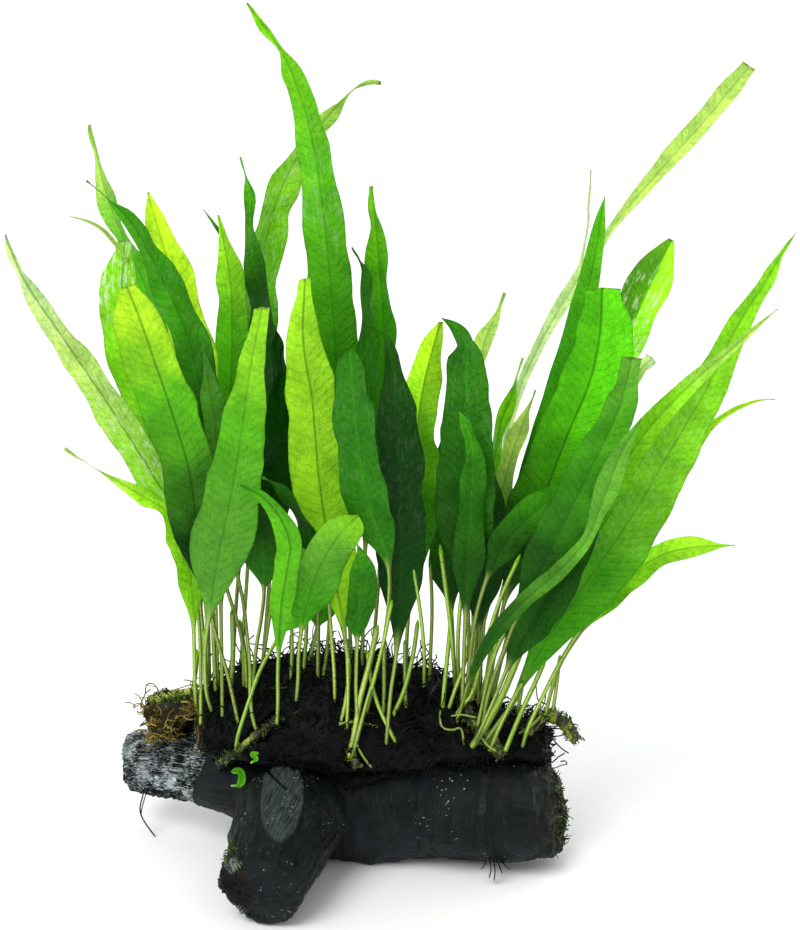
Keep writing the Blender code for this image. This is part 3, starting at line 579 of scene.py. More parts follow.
def leaf_material(tones):
    """Wet frond tissue, toned from tip to foot: veins, cells, blotches and a speckled stalk."""
    if tones in LEAVES:
        return LEAVES[tones]
    tip, body, foot = [lit(tone) for tone in tones.split()]
    material, make, output = new_material("leaf_" + tones.replace(" ", "_"))
    off = make.times(make.attribute("off"), 1000.0)
    run = make.times(make.attribute("run"), 1000.0)
    blade = make.attribute("blade")
    across = make.attribute("across")
    seed = make.attribute("seed")
    place = make.combine(off, run, make.times(seed, 7.0))
    side = make.math("ABSOLUTE", off)

    drift = make.times(make.minus(make.noise(place, 0.09, 2.0), 0.5), 0.3)
    along = make.plus(blade, drift)
    colour = make.ramp(along, ((0.0, foot), (0.25, foot), (0.66, body), (1.0, tip)))
    pale = sum(body[:3]) > 0.35 * LEAF_LIFT
    rough_tone = 0.11 if pale else 0.20
    blotch = make.spread(make.noise(place, 0.13, 3.0, 0.6), 0.3, 0.7, 0.86, 1.12)
    mottle = make.spread(make.noise(place, 0.9, 4.0, 0.75), 0.3, 0.7, 1 - rough_tone, 1 + rough_tone)
    grainy = make.noise(make.vector("MULTIPLY", place, (2.4, 0.35, 1.0)), 1.0, 4.0, 0.65)
    grainy = make.spread(grainy, 0.3, 0.7, 1 - rough_tone, 1 + rough_tone)
    # Painted light and shade on the blade's halves: one half lighter and the other darker, a little at
    # random on every blade and more where given; this times the random mottling tones the blade
    lean = make.times(make.math("SINE", make.times(seed, 2.3)), 0.10)
    sided = make.spread(across, -0.12, 0.12, -1.0, 1.0)
    halves = make.plus(1.0, make.times(sided, make.plus(lean, make.attribute("halves"))))
    shade = make.times(make.times(blotch, mottle), make.times(grainy, halves))
    red, green = (1.25, 0.85) if pale else (1.5, 0.75)
    tint = make.combine(make.math("POWER", shade, red), make.math("POWER", shade, green), shade)
    colour = make.mix(1.0, colour, tint, "MULTIPLY")

    wander = make.times(make.noise(place, 0.5, 2.0), 2.6)
    slant = make.minus(run, make.times(side, 0.8))
    stripe = make.math("SINE", make.times(make.plus(slant, wander), 2 * math.pi / VEIN_STEP))
    vein = make.times(make.spread(stripe, 0.5, 1.0), make.spread(side, 0.5, 1.5))
    mesh = make.cells(make.vector("MULTIPLY", place, (1.0, 0.7, 1.0)), 1.1, "DISTANCE_TO_EDGE")
    net = make.spread(mesh, 0.0, 0.15, 1.0, 0.0)
    rib = make.spread(make.plus(side, make.times(make.noise(place, 0.8, 2.0), 0.25)),
                      0.28, 0.62, 1.0, 0.0)
    rib_tone = make.mix(1.0, colour, (0.42, 0.52, 0.4, 1) if pale else (1.5, 1.45, 1.5, 1), "MULTIPLY")
    net_tone = make.mix(1.0, colour, (1.35, 1.2, 1.6, 1) if pale else (1.5, 1.3, 1.4, 1), "MULTIPLY")
    colour = make.mix(make.times(net, 0.22), colour, net_tone)
    vein_tone = make.mix(1.0, colour, (0.55, 0.66, 0.5, 1), "MULTIPLY")
    colour = make.mix(make.times(vein, 0.24), colour, vein_tone)
    colour = make.mix(make.times(rib, make.attribute("rib")), colour, rib_tone)
    margin = make.spread(make.math("ABSOLUTE", across), 0.9, 1.0, 0.0, 0.5)
    colour = make.mix(margin, colour, make.mix(1.0, colour, (0.5, 0.6, 0.4, 1), "MULTIPLY"))
    fleck = make.spread(make.noise(place, 1.9, 2.0), 0.68, 0.75, 0.0, 0.3)
    colour = make.mix(fleck, colour, TONES["speckle"])
    scorch = make.spread(make.plus(blade, make.times(make.noise(place, 0.6), 0.03)),
                         1.008, 1.018, 0.0, 0.6)
    colour = make.mix(scorch, colour, TONES["brown"])
    # Painted highlight: pale glare streaks painted into the colour where the blade has a glare
    streak = make.noise(make.vector("MULTIPLY", place, (1.3, 0.3, 1.0)), 0.8, 3.0, 0.6, 0.3)
    shine = make.times(make.spread(streak, 0.5, 0.66), make.attribute("glare"))
    colour = make.mix(make.times(shine, 0.85), colour, TONES["glare"])

    stalk = make.mix(0.3, lit("petiole"), foot)
    dots = make.spread(make.noise(make.vector("MULTIPLY", place, (1.3, 0.5, 1.0)), 2.4, 3.0), 0.55, 0.66)
    stalk = make.mix(make.times(dots, 0.45), stalk, TONES["speckle"])
    # Painted highlight along each stalk, a little off its middle, and painted shade towards its edges
    painted_stalk_light = make.spread(make.math("ABSOLUTE", make.plus(across, 0.2)), 0.1, 0.9, 1.45, 0.45)
    stalk = make.mix(1.0, stalk, make.combine(painted_stalk_light, painted_stalk_light, painted_stalk_light), "MULTIPLY")
    colour = make.mix(make.spread(blade, 0.01, 0.10), stalk, colour)

    height = make.plus(make.times(net, 0.3), make.times(vein, -0.6))
    height = make.plus(height, make.times(make.noise(place, 0.7, 3.0), 1.2))
    bump = make.node("ShaderNodeBump", Strength=0.6, Distance=0.0004, Height=height)
    rough = make.spread(make.noise(place, 0.35, 3.0), 0.3, 0.7, 0.24, 0.5)
    wet = make.node("ShaderNodeBsdfPrincipled", Base_Color=colour, Roughness=rough,
                    Normal=bump.outputs[0], Specular_IOR_Level=0.16)
    through = make.mix(1.0, colour, (1.0, 1.0, 0.5, 1), "MULTIPLY")
    glow = make.node("ShaderNodeBsdfTranslucent", Color=through, Normal=bump.outputs[0])
    both = make.node("ShaderNodeMixShader", Fac=TRANSLUCENCE)
    make.plug(both.inputs[1], wet.outputs[0])
    make.plug(both.inputs[2], glow.outputs[0])
    make.plug(output.inputs["Surface"], both.outputs[0])
    LEAVES[tones] = material
    return material


def sighted(column, row, depth):
    """The point at this depth that shows at this column and row of the sketch sheet."""
    across = (column - SHEET_CENTRE[0]) * PIXEL
    up = (SHEET_CENTRE[1] - row) * PIXEL
    ray = SHEET_POINT + across * ACROSS + up * UPWARD - EYE
    return EYE + ray * ((depth - EYE.y) / ray.y)


def layer_depth(layer, row):
    """Depth of a layer of the fan at this row: the layers spread apart towards the top."""
    rise = min(max((ROOT_ROW - row) / (ROOT_ROW - TOP_ROW), 0), 1)
    return FAN_CENTRE + layer * (ROOT_STEP + (TOP_STEP - ROOT_STEP) * rise ** SPREAD_CURVE)


def curve_through(points, count):
    """Points spread evenly along a smooth curve through the given ones, of any size."""
    rows = [Vector(p) for p in points]
    rows = [2 * rows[0] - rows[1]] + rows + [2 * rows[-1] - rows[-2]]
    fine = []
    for a, b, c, d in zip(rows, rows[1:], rows[2:], rows[3:]):
        for step in range(12):
            t = step / 12
            fine.append(0.5 * (2 * b + (c - a) * t + (2 * a - 5 * b + 4 * c - d) * t * t
                               + (3 * b - a - 3 * c + d) * t ** 3))
    fine.append(rows[-2])
    reach = [0.0]
    for a, b in zip(fine, fine[1:]):
        reach.append(reach[-1] + (b - a).length)
    spread = []
    k = 0
    for i in range(count):
        want = reach[-1] * i / (count - 1)
        while k < len(fine) - 2 and reach[k + 1] < want:
            k += 1
        share = (want - reach[k]) / max(reach[k + 1] - reach[k], 1e-12)
        spread.append(fine[k].lerp(fine[k + 1], min(share, 1)))
    return spread


def linked(name, mesh):
    """A new object on the scene with this mesh."""
    piece = bpy.data.objects.new(name, mesh)
    bpy.context.scene.collection.objects.link(piece)
    return piece


def settled(piece, slot, *nodes):
    """The piece rides on the plant and stands for CAD nodes; its slot is not used."""
    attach(piece, "root")
    if nodes:
        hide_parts(*nodes)
    return piece


def new_tree(name, sizes):
    """A Geometry Nodes tree with a base shape in, a mesh out and these named inputs."""
    tree = bpy.data.node_groups.new(name, "GeometryNodeTree")
    tree.interface.new_socket("Geometry", in_out="INPUT", socket_type="NodeSocketGeometry")
    tree.interface.new_socket("Geometry", in_out="OUTPUT", socket_type="NodeSocketGeometry")
    for label, kind in sizes.items():
        tree.interface.new_socket(label, in_out="INPUT", socket_type="NodeSocket" + kind)
    make = Maker(tree)
    return tree, make, make.node("NodeGroupInput").outputs


def close_tree(make, geometry, material):
    """Ends a tree: real geometry in its material, shaded smooth."""
    smooth = make.node("GeometryNodeSetShadeSmooth", Geometry=geometry).outputs[0]
    real = make.node("GeometryNodeRealizeInstances", Geometry=smooth).outputs[0]
    finish = make.node("GeometryNodeSetMaterial", Geometry=real, Material=material).outputs[0]
    make.node("NodeGroupOutput", Geometry=finish)


def grown(name, base, tree, **sizes):
    """The piece that a tree grows from a base mesh."""
    seedling = linked("seedling", base)
    modifier = seedling.modifiers.new("grow", "NODES")
    modifier.node_group = tree
    for item in tree.interface.items_tree:
        key = item.name.replace(" ", "_").lower()
        if item.in_out == "INPUT" and key in sizes:
            modifier[item.identifier] = sizes[key]
    graph = bpy.context.evaluated_depsgraph_get()
    mesh = bpy.data.meshes.new_from_object(seedling.evaluated_get(graph))
    bpy.data.objects.remove(seedling)
    bpy.data.meshes.remove(base)
    mesh.name = name
    return linked(name, mesh)


def named(make, name, kind="FLOAT"):
    """A value that the base mesh carries under this name."""
    return make.node("GeometryNodeInputNamedAttribute", {"data_type": kind}, Name=name).outputs[0]


def along_spine(make, spine, factor, name, kind="FLOAT"):
    """The spine's outputs at a share of its length, with the named value there as Value."""
    return make.node("GeometryNodeSampleCurve", {"mode": "FACTOR", "data_type": kind}, Curves=spine,
                     Factor=factor, Value=named(make, name, kind)).outputs


def store(make, geometry, name, value, domain="POINT"):
    """Keeps a value of each point, or of each instance, under a name."""
    node = make.node("GeometryNodeStoreNamedAttribute", {"data_type": "FLOAT", "domain": domain},
                     Geometry=geometry, Name=name, Value=value)
    return node.outputs[0]


def half_widths(width, share, blunt, stalk, outline, cut):
    """Half the frond's width to its left and right, at each point of its spine."""
    sides = ([], [])
    marks = ((0, 1, 1), *outline, (1, 1, 1))
    for k in range(SPINE_POINTS):
        blade = max((k / (SPINE_POINTS - 1) - share) / (1 - share), 0)
        beyond = max(blade - BLADE_SWELL, 0) / (1 - BLADE_SWELL)
        taper = 1 - beyond ** blunt
        if blunt > ROUND_FROM:
            taper = math.sqrt(taper)
        full = (width - stalk) / 2 * smoothstep(blade, 0, BLADE_SWELL) * taper
        for side, values in enumerate(sides):
            value = full
            for low, high in zip(marks, marks[1:]):
                if low[0] <= blade <= high[0] > low[0]:
                    step = (blade - low[0]) / (high[0] - low[0])
                    value = full * (low[side + 1] + (high[side + 1] - low[side + 1]) * step)
            value = max(value, cut * smoothstep(blade, 0.5, 0.9))
            values.append(stalk / 2 * (1 - 0.7 * blade) + value)
    return sides


def frond_tree():
    """Grows a frond along a spine that carries its half widths and the ways of its side and face."""
    tree, make, given = new_tree("frond", {
        "Stalk share": "Float", "Length": "Float", "Stalk width": "Float", "Ripple": "Float",
        "Waver": "Float", "Glare from": "Float", "Glare to": "Float", "Glare": "Float",
        "Rib": "Float", "Halves": "Float", "Seed": "Float",
        "Stations": "Int", "Around": "Int", "Surface": "Material"})
    spine = make.node("GeometryNodeMeshToCurve", Mesh=given["Geometry"]).outputs[0]
    cylinder = make.node("GeometryNodeMeshCylinder", {"fill_type": "TRIANGLE_FAN"}, Radius=1.0,
                         Depth=1.0, Vertices=given["Around"], Side_Segments=given["Stations"])
    place = make.node("GeometryNodeInputPosition").outputs[0]
    parts = make.node("ShaderNodeSeparateXYZ", Vector=place).outputs
    across, round_, along = parts[0], parts[1], make.plus(parts[2], 0.5, clamp=True)
    run = make.times(along, given["Length"])

    share = given["Stalk share"]
    blade = make.math("DIVIDE", make.minus(along, share), make.minus(1.0, share),
                      clamp=True)
    swell = make.spread(blade, 0.0, BLADE_SWELL)
    stalk = make.times(given["Stalk width"], 0.5)
    one_side, other_side = [along_spine(make, spine, along, name)["Value"] for name in ("left", "right")]
    left = make.math("SIGN", across)
    to_right = make.math("GREATER_THAN", across, 0.0)
    half = make.plus(make.times(to_right, other_side),
                     make.times(make.minus(1.0, to_right), one_side))
    drift = make.combine(make.times(run, 70.0), make.times(left, 3.0), given["Seed"])
    waver = make.times(make.minus(make.noise(drift, 1.0, 2.0), 0.5), given["Waver"])
    waver = make.times(waver, make.times(swell, 2.0))
    half = make.times(half, make.plus(1.0, waver))
    off = make.times(across, half)

    spread = make.math("ABSOLUTE", across)
    thick = make.plus(STALK_THICKNESS / 2,
                      make.times(swell, (BLADE_THICKNESS - STALK_THICKNESS) / 2))
    thin = make.times(make.times(spread, swell), 1 - EDGE_THICKNESS)
    lift = make.times(thick, make.minus(1.0, thin), round_)
    rib = make.spread(make.math("ABSOLUTE", off), 0.0, MIDRIB_WIDTH, -MIDRIB_DEPTH, 0.0)
    lift = make.plus(lift, make.times(rib, swell))
    fold = make.times(make.minus(make.math("ABSOLUTE", off), stalk), FOLD)
    lift = make.plus(lift, make.math("MAXIMUM", fold, 0.0))
    beat = make.plus(make.times(run, 2 * math.pi / RIPPLE_LENGTH),
                     make.plus(given["Seed"], make.times(left, 1.3)))
    jitter = make.times(make.noise(drift, 0.6, 1.0), 7.0)
    wave = make.math("SINE", make.plus(beat, jitter))
    reach = make.times(make.math("POWER", spread, 1.6), swell)
    lift = make.plus(lift, make.times(wave, reach, given["Ripple"]))

    side = along_spine(make, spine, along, "side", "FLOAT_VECTOR")
    face = along_spine(make, spine, along, "face", "FLOAT_VECTOR")
    to_side = make.vector("SCALE", side["Value"], scale=off)
    to_face = make.vector("SCALE", face["Value"], scale=lift)
    goal = make.vector("ADD", side["Position"], make.vector("ADD", to_side, to_face))

    geometry = cylinder.outputs["Mesh"]
    # Painted highlight: the share of the blade that gets a painted glare, fading in and out at its ends
    start, end = given["Glare from"], given["Glare to"]
    glare = make.times(make.spread(blade, start, make.plus(start, PAINTED_GLARE_FADE)), given["Glare"])
    glare = make.times(glare, make.spread(blade, make.minus(end, PAINTED_GLARE_FADE), end, 1.0, 0.0))
    kept = (("across", across), ("off", off), ("run", run), ("blade", blade), ("glare", glare),
            ("rib", given["Rib"]), ("halves", given["Halves"]), ("seed", given["Seed"]))
    for name, value in kept:
        geometry = store(make, geometry, name, value)
    geometry = make.node("GeometryNodeSetPosition", Geometry=geometry, Position=goal).outputs[0]
    close_tree(make, geometry, given["Surface"])
    return tree


def keep(mesh, label, values, vector=False):
    """Lets the mesh carry a value, or a vector, for each of its points."""
    kind, field = ("FLOAT_VECTOR", "vector") if vector else ("FLOAT", "value")
    mesh.attributes.new(label, kind, "POINT").data.foreach_set(field, values)


def line_mesh(name, points):
    """A string of edges through these points."""
    mesh = bpy.data.meshes.new(name)
    mesh.from_pydata([tuple(p) for p in points], [(i, i + 1) for i in range(len(points) - 1)], [])
    return mesh


def spine_mesh(name, points, turn, widths):
    """A spine as a string of edges, each point with the blade's side, face and half widths there."""
    mesh = line_mesh(name, points)
    sides = []
    faces = []
    last = len(points) - 1
    for k, heart in enumerate(points):
        ahead = (points[min(k + 1, last)] - points[max(k - 1, 0)]).normalized()
        face = EYE - heart
        face = (face - ahead * face.dot(ahead)).normalized()
        side = ahead.cross(face)
        angle = math.radians(turn) * math.sin(math.pi / 2 * k / last)
        sides.extend(side * math.cos(angle) + face * math.sin(angle))
        faces.extend(face * math.cos(angle) - side * math.sin(angle))
    keep(mesh, "side", sides, vector=True)
    keep(mesh, "face", faces, vector=True)
    for label, values in zip(("left", "right"), widths):
        keep(mesh, label, values)
    return mesh


def first_hit(start, heading, trees, near=None):
    """Where a line first meets one of the surfaces, or else their nearest point to another one."""
    hits = [tree.ray_cast(start, heading) for tree in trees]
    reaches = [hit[3] for hit in hits if hit[0] is not None]
    if reaches:
        return start + heading * min(reaches)
    return min((tree.find_nearest(near) for tree in trees), key=lambda found: found[3])[0]


def seen(column, row, trees, out=0.0):
    """The point of a surface that shows at this column and row, drawn out towards the viewer."""
    aim = sighted(column, row, 0)
    heading = (aim - EYE).normalized()
    return first_hit(EYE, heading, trees, aim) - heading * out


def rooted(root, on_face, trees):
    """The root, sunk a little into the surface seen behind it or else into the highest one."""
    if on_face:
        heading = (root - EYE).normalized()
        return first_hit(EYE, heading, trees, root) + heading * ROOT_SINK
    return first_hit(Vector((root.x, root.y, SIGHT_DISTANCE)), Vector((0, 0, -1)), trees) - Vector(
        (0, 0, ROOT_SINK))


def grow_frond(name, tree, spine, width, share, blunt, turn, material, seed, outline=(), ripple=RIPPLE,
               waver=WAVER, glare=(0.0, 0.0, 0.0), cut=0.0, rib=0.5, halves=0.0, stalk=STALK_WIDTH,
               stations=FROND_STATIONS, around=FROND_AROUND):
    """One frond along a spine of points."""
    points = curve_through(spine, SPINE_POINTS)
    length = sum((b - a).length for a, b in zip(points, points[1:]))
    widths = half_widths(width, share, blunt, stalk, outline, cut)
    return grown(name, spine_mesh(name + "_spine", points, turn, widths), tree, stalk_share=share,
                 length=length, stalk_width=stalk, ripple=ripple, waver=waver, glare_from=glare[0],
                 glare_to=glare[1], glare=glare[2], rib=rib, halves=halves, seed=seed,
                 stations=stations, around=around, surface=material)


def make_fronds(tree, trees):
    """All the fronds, each over its own solid."""
    for k, (name, (layer, width, share, blunt, turn, tones, sketch)) in enumerate(FRONDS.items()):
        spine = [sighted(column, row, depth[0] * MM if depth else layer_depth(layer, row))
                 for column, row, *depth in sketch]
        spine[0] = rooted(spine[0], len(sketch[0]) == 3, trees)
        calm = 0.2 if name in STRAIGHT else 1.0
        blade = grow_frond(name + "_blade", tree, spine, width * MM, share, blunt, turn,
                           leaf_material(tones), 1.7 * k, OUTLINES.get(name, ()), RIPPLE * calm,
                           WAVER * calm, PAINTED_GLARES.get(name, (0.0, 0.0, 0.0)), CUT_TIPS.get(name, 0.0),
                           RIBS.get(name, 0.5), PAINTED_HALF_LIGHT.get(name, 0.0))
        settled(blade, "leaf", name)


def make_stalks(tree, trees, roots):
    """Single stalks and tips among the fronds, runners over the roots, hair roots off the wood."""
    def bare(name, spine, width, share, surface, seed, stations, around):
        """A stalk with no blade to speak of."""
        return grow_frond(name, tree, spine, width * MM, share, 2.0, 0, surface, seed,
                          stalk=width * MM, ripple=0.0, stations=stations, around=around)

    for k, (width, tone, points) in enumerate(STALKS):
        spine = [sighted(column, row, depth * MM) for column, row, depth in reversed(points)]
        spine[0] = rooted(spine[0], True, trees)
        surface = leaf_material(f"{tone} {tone} {tone}")
        settled(bare(f"stalk_{k:02d}", spine, width, 0.96, surface, 50.0 + k, 40, 10), "leaf")
    for k, (width, cut, tones, points) in enumerate(SLIVERS):
        spine = [sighted(column, row, depth * MM) for column, row, depth in points]
        tip = grow_frond(f"tip_{k}", tree, spine, width * MM, 0.0, 2.4, 0, leaf_material(tones),
                         60.0 + k, ripple=0.0, cut=cut * MM, stalk=0.6 * MM, stations=40, around=16)
        settled(tip, "leaf")
    for k, (width, points) in enumerate(RUNNERS):
        spine = [seen(column, row, trees, width * 0.4 * MM) for column, row in points]
        surface = leaf_material("grey olive olive")
        settled(bare(f"runner_{k}", spine, width, 0.96, surface, 80.0 + k, 40, 10), "rhizome")
    for k, (width, points) in enumerate(THREADS):
        spine = [sighted(column, row, depth * MM) for column, row, depth in points]
        spine[0] = rooted(spine[0], True, trees)
        settled(bare(f"hair_root_{k}", spine, width, 0.9, roots, 70.0 + k, 30, 8), "roots")


def make_plantlets(tree, trees):
    """The young plants in the fork of the wood."""
    young = leaf_material("bright bright bright")
    for k, (name, (width, points)) in enumerate(PLANTLETS.items()):
        depth = min(seen(column, row, trees, PLANTLET_CLEARANCE).y for column, row in points)
        spine = [sighted(column, row, depth) for column, row in points]
        leaf = grow_frond(name + "_leaf", tree, spine, width * MM, 0.1, 4.0, 0, young, 90.0 + k,
                          ripple=0.0, stalk=0.8 * MM, stations=40, around=16)
        settled(leaf, "young_leaf", name)


def limb(name, line, seed):
    """A lumpy limb along a line of hearts, closed at both ends."""
    stations = curve_through([row[:3] for row in line], WOOD_RINGS)
    widths = curve_through([(row[3], 0, 0) for row in line], WOOD_RINGS)
    bm = bmesh.new()
    rings = []
    for k, heart in enumerate(stations):
        ahead = (stations[min(k + 1, WOOD_RINGS - 1)] - stations[max(k - 1, 0)]).normalized()
        side = ahead.cross(Vector((0, 0, 1))).normalized()
        top = side.cross(ahead).normalized()
        ring = []
        for i in range(WOOD_SIDES):
            turn = 2 * math.pi * i / WOOD_SIDES
            lump = (math.sin(3 * turn + 0.9 * k + seed) + 0.7 * math.sin(5 * turn - 1.3 * k + 2 * seed)
                    + 0.6 * math.sin(2 * turn + 2.1 * k + 3 * seed))
            reach = widths[k][0] * (1 + WOOD_RELIEF * lump / 2)
            point = heart + side * (reach * math.cos(turn)) + top * (reach * math.sin(turn))
            point.z = max(point.z, 0)
            ring.append(bm.verts.new(point * MM))
        rings.append(ring)
    for low, high in zip(rings, rings[1:]):
        for i in range(WOOD_SIDES):
            j = (i + 1) % WOOD_SIDES
            bm.faces.new((low[i], low[j], high[j], high[i]))
    for ring, near, far in ((rings[0], 0, 1), (rings[-1], -1, -2)):
        push = (stations[near] - stations[far]).normalized() * widths[near][0] * END_BULGE
        tip = bm.verts.new((stations[near] + push) * MM)
        for i in range(WOOD_SIDES):
            bm.faces.new((ring[i], ring[(i + 1) % WOOD_SIDES], tip))
    bmesh.ops.recalc_face_normals(bm, faces=bm.faces)
    mesh = bpy.data.meshes.new(name)
    bm.to_mesh(mesh)
    bm.free()
    return mesh


def with_modifiers(piece):
    """The piece's mesh as its modifiers leave it."""
    graph = bpy.context.evaluated_depsgraph_get()
    mesh = bpy.data.meshes.new_from_object(piece.evaluated_get(graph))
    piece.modifiers.clear()
    old = piece.data
    piece.data = mesh
    bpy.data.meshes.remove(old)


def joined(name, meshes):
    """One mesh from several."""
    bm = bmesh.new()
    for mesh in meshes:
        bm.from_mesh(mesh)
        bpy.data.meshes.remove(mesh)
    whole = bpy.data.meshes.new(name)
    bm.to_mesh(whole)
    bm.free()
    return whole


def points_of(mesh):
    """The mesh's points and their normals."""
    spots = np.empty(len(mesh.vertices) * 3)
    normals = np.empty(len(mesh.vertices) * 3)
    mesh.vertices.foreach_get("co", spots)
    mesh.vertices.foreach_get("normal", normals)
    return [Vector(p) for p in spots.reshape(-1, 3)], [Vector(n) for n in normals.reshape(-1, 3)]


def lifted(spot, normal, lift, floor=0.0):
    """A point moved along its normal, and kept off the floor."""
    moved = spot + normal * lift
    moved.z = max(moved.z, floor)
    return moved


def place_points(mesh, spots):
    """Puts the mesh's points in new places."""
    mesh.vertices.foreach_set("co", np.array([tuple(p) for p in spots]).ravel())
    mesh.update()


def smoothstep(value, low, high):
    """A smooth rise from 0 at the low value to 1 at the high one."""
    share = min(max((value - low) / (high - low), 0), 1)
    return share * share * (3 - 2 * share)


def make_wood(trees):
    """One skin over the whole piece of driftwood, with its bark, knot, grain and cracks."""
    skin = linked("driftwood_skin", joined("driftwood_skin", [
        limb(name, line, seed) for name, (line, seed) in WOOD_LINES.items()]))
    remesh = skin.modifiers.new("one_skin", "REMESH")
    remesh.mode = "VOXEL"
    remesh.voxel_size = WOOD_VOXEL
    even = skin.modifiers.new("even", "SMOOTH")
    even.factor = 0.5
    even.iterations = 14
    with_modifiers(skin)
    carve_wood(skin.data, trees)
    skin.data.materials.append(wood_material([seen(column, row, trees) for column, row in KNOT_CRACK]))
    skin.data.shade_smooth()
    return settled(skin, "driftwood", *WOOD_NODES)


def axis_place(point, line):
    """Which way along a limb's line, and how far off it, a point lies, in millimetres."""
    best = None
    run = 0.0
    for a, b in zip(line, line[1:]):
        start = Vector(a[:3])
        step = Vector(b[:3]) - start
        share = min(max((point - start).dot(step) / step.length_squared, 0), 1)
        foot = start + step * share
        off = (point - foot).length / (a[3] + (b[3] - a[3]) * share)
        if best is None or off < best[0]:
            best = (off, run + step.length * share, point - foot, step.normalized())
        run += step.length
    return best


def carve_wood(mesh, trees):
    """Moves the skin's points by its relief, and keeps what each place is made of and where painted
    highlights go.
    """
    knot = seen(*KNOT_SPOT, trees)
    crack = [seen(column, row, trees) for column, row in KNOT_CRACK]
    count = len(mesh.vertices)
    kept = {name: np.zeros(count, np.float32)
            for name in ("char", "sawn", "split", "painted_glint", "moss", "painted_speck", "cap")}
    char, sawn, split, painted_glint, moss, painted_speck, cap = kept.values()
    grain = np.zeros((count, 3), np.float32)
    lines = [line for line, seed in WOOD_LINES.values()]
    spots, normals = points_of(mesh)
    for i, (spot, n) in enumerate(zip(spots, normals)):
        p = spot / MM
        places = [axis_place(p, line) for line in lines]
        which = min(range(3), key=lambda k: places[k][0])
        off, run, out, ahead = places[which]
        side = ahead.cross(Vector((0, 0, 1))).normalized()
        cap[i] = smoothstep(abs(n.dot(ahead)), 0.5, 0.8)
        turn = math.atan2(out.dot(side.cross(ahead)), out.dot(side))
        grain[i] = (turn * 18, run, 0) if which == 0 else (run + 40 * which, turn * 18, 0)
        bark = char_share(p, which)
        face = sawn_share(spot, knot)
        char[i] = bark
        sawn[i] = face
        along, over = (turn * 1.3, run * 0.33) if which == 0 else (run * 0.07, turn * 7)
        fibre = noise.fractal(Vector((along, over, which * 9.0)), 0.9, 2.0, 4)
        lumps = noise.fractal(p * 0.09, 1.0, 2.0, 4)
        upright = Vector((p.x * 0.30, p.y * 0.30, p.z * 0.42))
        rough = noise.ridged_multi_fractal(upright, 0.9, 2.1, 5, 0.9, 2.0)
        crag = noise.turbulence(p * 0.55, 4, True)
        depth = 0.9 * lumps + 0.35 * fibre * (1 - bark) * (1 - cap[i])
        depth += bark * (1.1 * (rough - 1.1) + 0.5 * (crag - 0.5))
        stub = smoothstep(p.x, 47, 60) * (which == 0)
        depth += stub * 2.4 * noise.fractal(p * 0.13 + Vector((3, 1, 7)), 0.8, 2.2, 4)
        rim = noise.hetero_terrain(p * 0.4, 0.9, 2.0, 3, 0.5)
        depth = depth * (1 - face) + face * (0.55 + 0.10 * fibre)
        # Painted highlight: the share of pale glints here, none on the sawn face
        painted_glint[i] = painted_glint_share(p, which, bark) * (1 - face)
        moss[i] = moss_share(p, which)
        # Painted highlight: the share of fine sparkling specks
        painted_speck[i] = painted_speck_share(p, which)
        depth += moss[i] * 0.5 * rim
        split[i] = 1 - smoothstep(near_line(spot, *crack), 0.4 * MM, 1.1 * MM)
        depth -= 0.9 * split[i]
        spots[i] = lifted(spot, n, depth * MM)
    place_points(mesh, spots)
    for name, values in kept.items():
        keep(mesh, name, values)
    keep(mesh, "grain", grain.ravel(), vector=True)


def char_share(p, which):
    """How charred the wood is here: the left branch, the left foot of the front one, patches."""
    patch = smoothstep(noise.fractal(p * 0.05 + Vector((5, 2, 1)), 1.0, 2.0, 3), 0.05, 0.35)
    if which == 1:
        return smoothstep(-p.x, 39, 50)
    if which == 2:
        left = smoothstep(-p.x - 0.30 * (p.z + p.y), 36, 44)
        return max(left, 0.25 * patch)
    return max(0.22 * patch, 0.75 * smoothstep(p.x, 44, 58) * patch + 0.25 * smoothstep(p.x, 50, 60))


def painted_glint_share(p, which, bark):
    """Where painted glints go, pale highlights for wet ridges: the end of the left branch, some of the
    charred foot; single specks have their own share.
    """
    if which == 1:
        band = smoothstep(p.z, 10, 15) * (1 - smoothstep(p.z, 31, 35))
        return band * smoothstep(-p.x, 40, 50) * (0.45 + 0.55 * smoothstep(noise.fractal(
            p * 0.12, 1.0, 2.0, 3), -0.45, 0.15))
    if which == 2:
        sheen = smoothstep(noise.fractal(p * 0.11 + Vector((9, 4, 2)), 1.0, 2.0, 3), 0.1, 0.5)
        return 0.5 * smoothstep(bark, 0.4, 0.8) * sheen
    return 0.0


def painted_speck_share(p, which):
    """Where the wood is sprinkled with fine bright specks, painted sparkle on the wet wood."""
    patch = smoothstep(noise.fractal(p * 0.09 + Vector((1, 8, 3)), 1.0, 2.0, 3), -0.1, 0.35)
    if which == 0:
        return patch * smoothstep(p.x, 14, 30) * (1 - smoothstep(p.x, 48, 54))
    return 0.5 * patch


def moss_share(p, which):
    """Where thin moss grows: the left flank of the front branch, the fork and the trunk's end."""
    if which == 2:
        return smoothstep(-p.x - 0.2 * (p.z + p.y), 33, 40) * smoothstep(p.z, 14, 24)
    if which == 1:
        return 0.9 * smoothstep(p.x, -46, -36)
    return 0.45 * smoothstep(p.x, 52, 62)


def sawn_share(co, knot):
    """Inside the oval of the sawn knot or not."""
    gap = co - knot
    across = gap.x / KNOT_HALF_WIDTH
    up = gap.dot(UPWARD) / KNOT_HALF_HEIGHT
    facing = gap.dot(FORWARD) < KNOT_DEPTH
    return facing * (1 - smoothstep(across * across + up * up, 0.86, 1.06))


def across_sight(step):
    """The part of a step that lies across the line of sight."""
    return step - FORWARD * step.dot(FORWARD)


def near_line(point, start, end):
    """How far a point is from a line between two others."""
    step = end - start
    share = min(max((point - start).dot(step) / step.length_squared, 0), 1)
    return (point - start - step * share).length


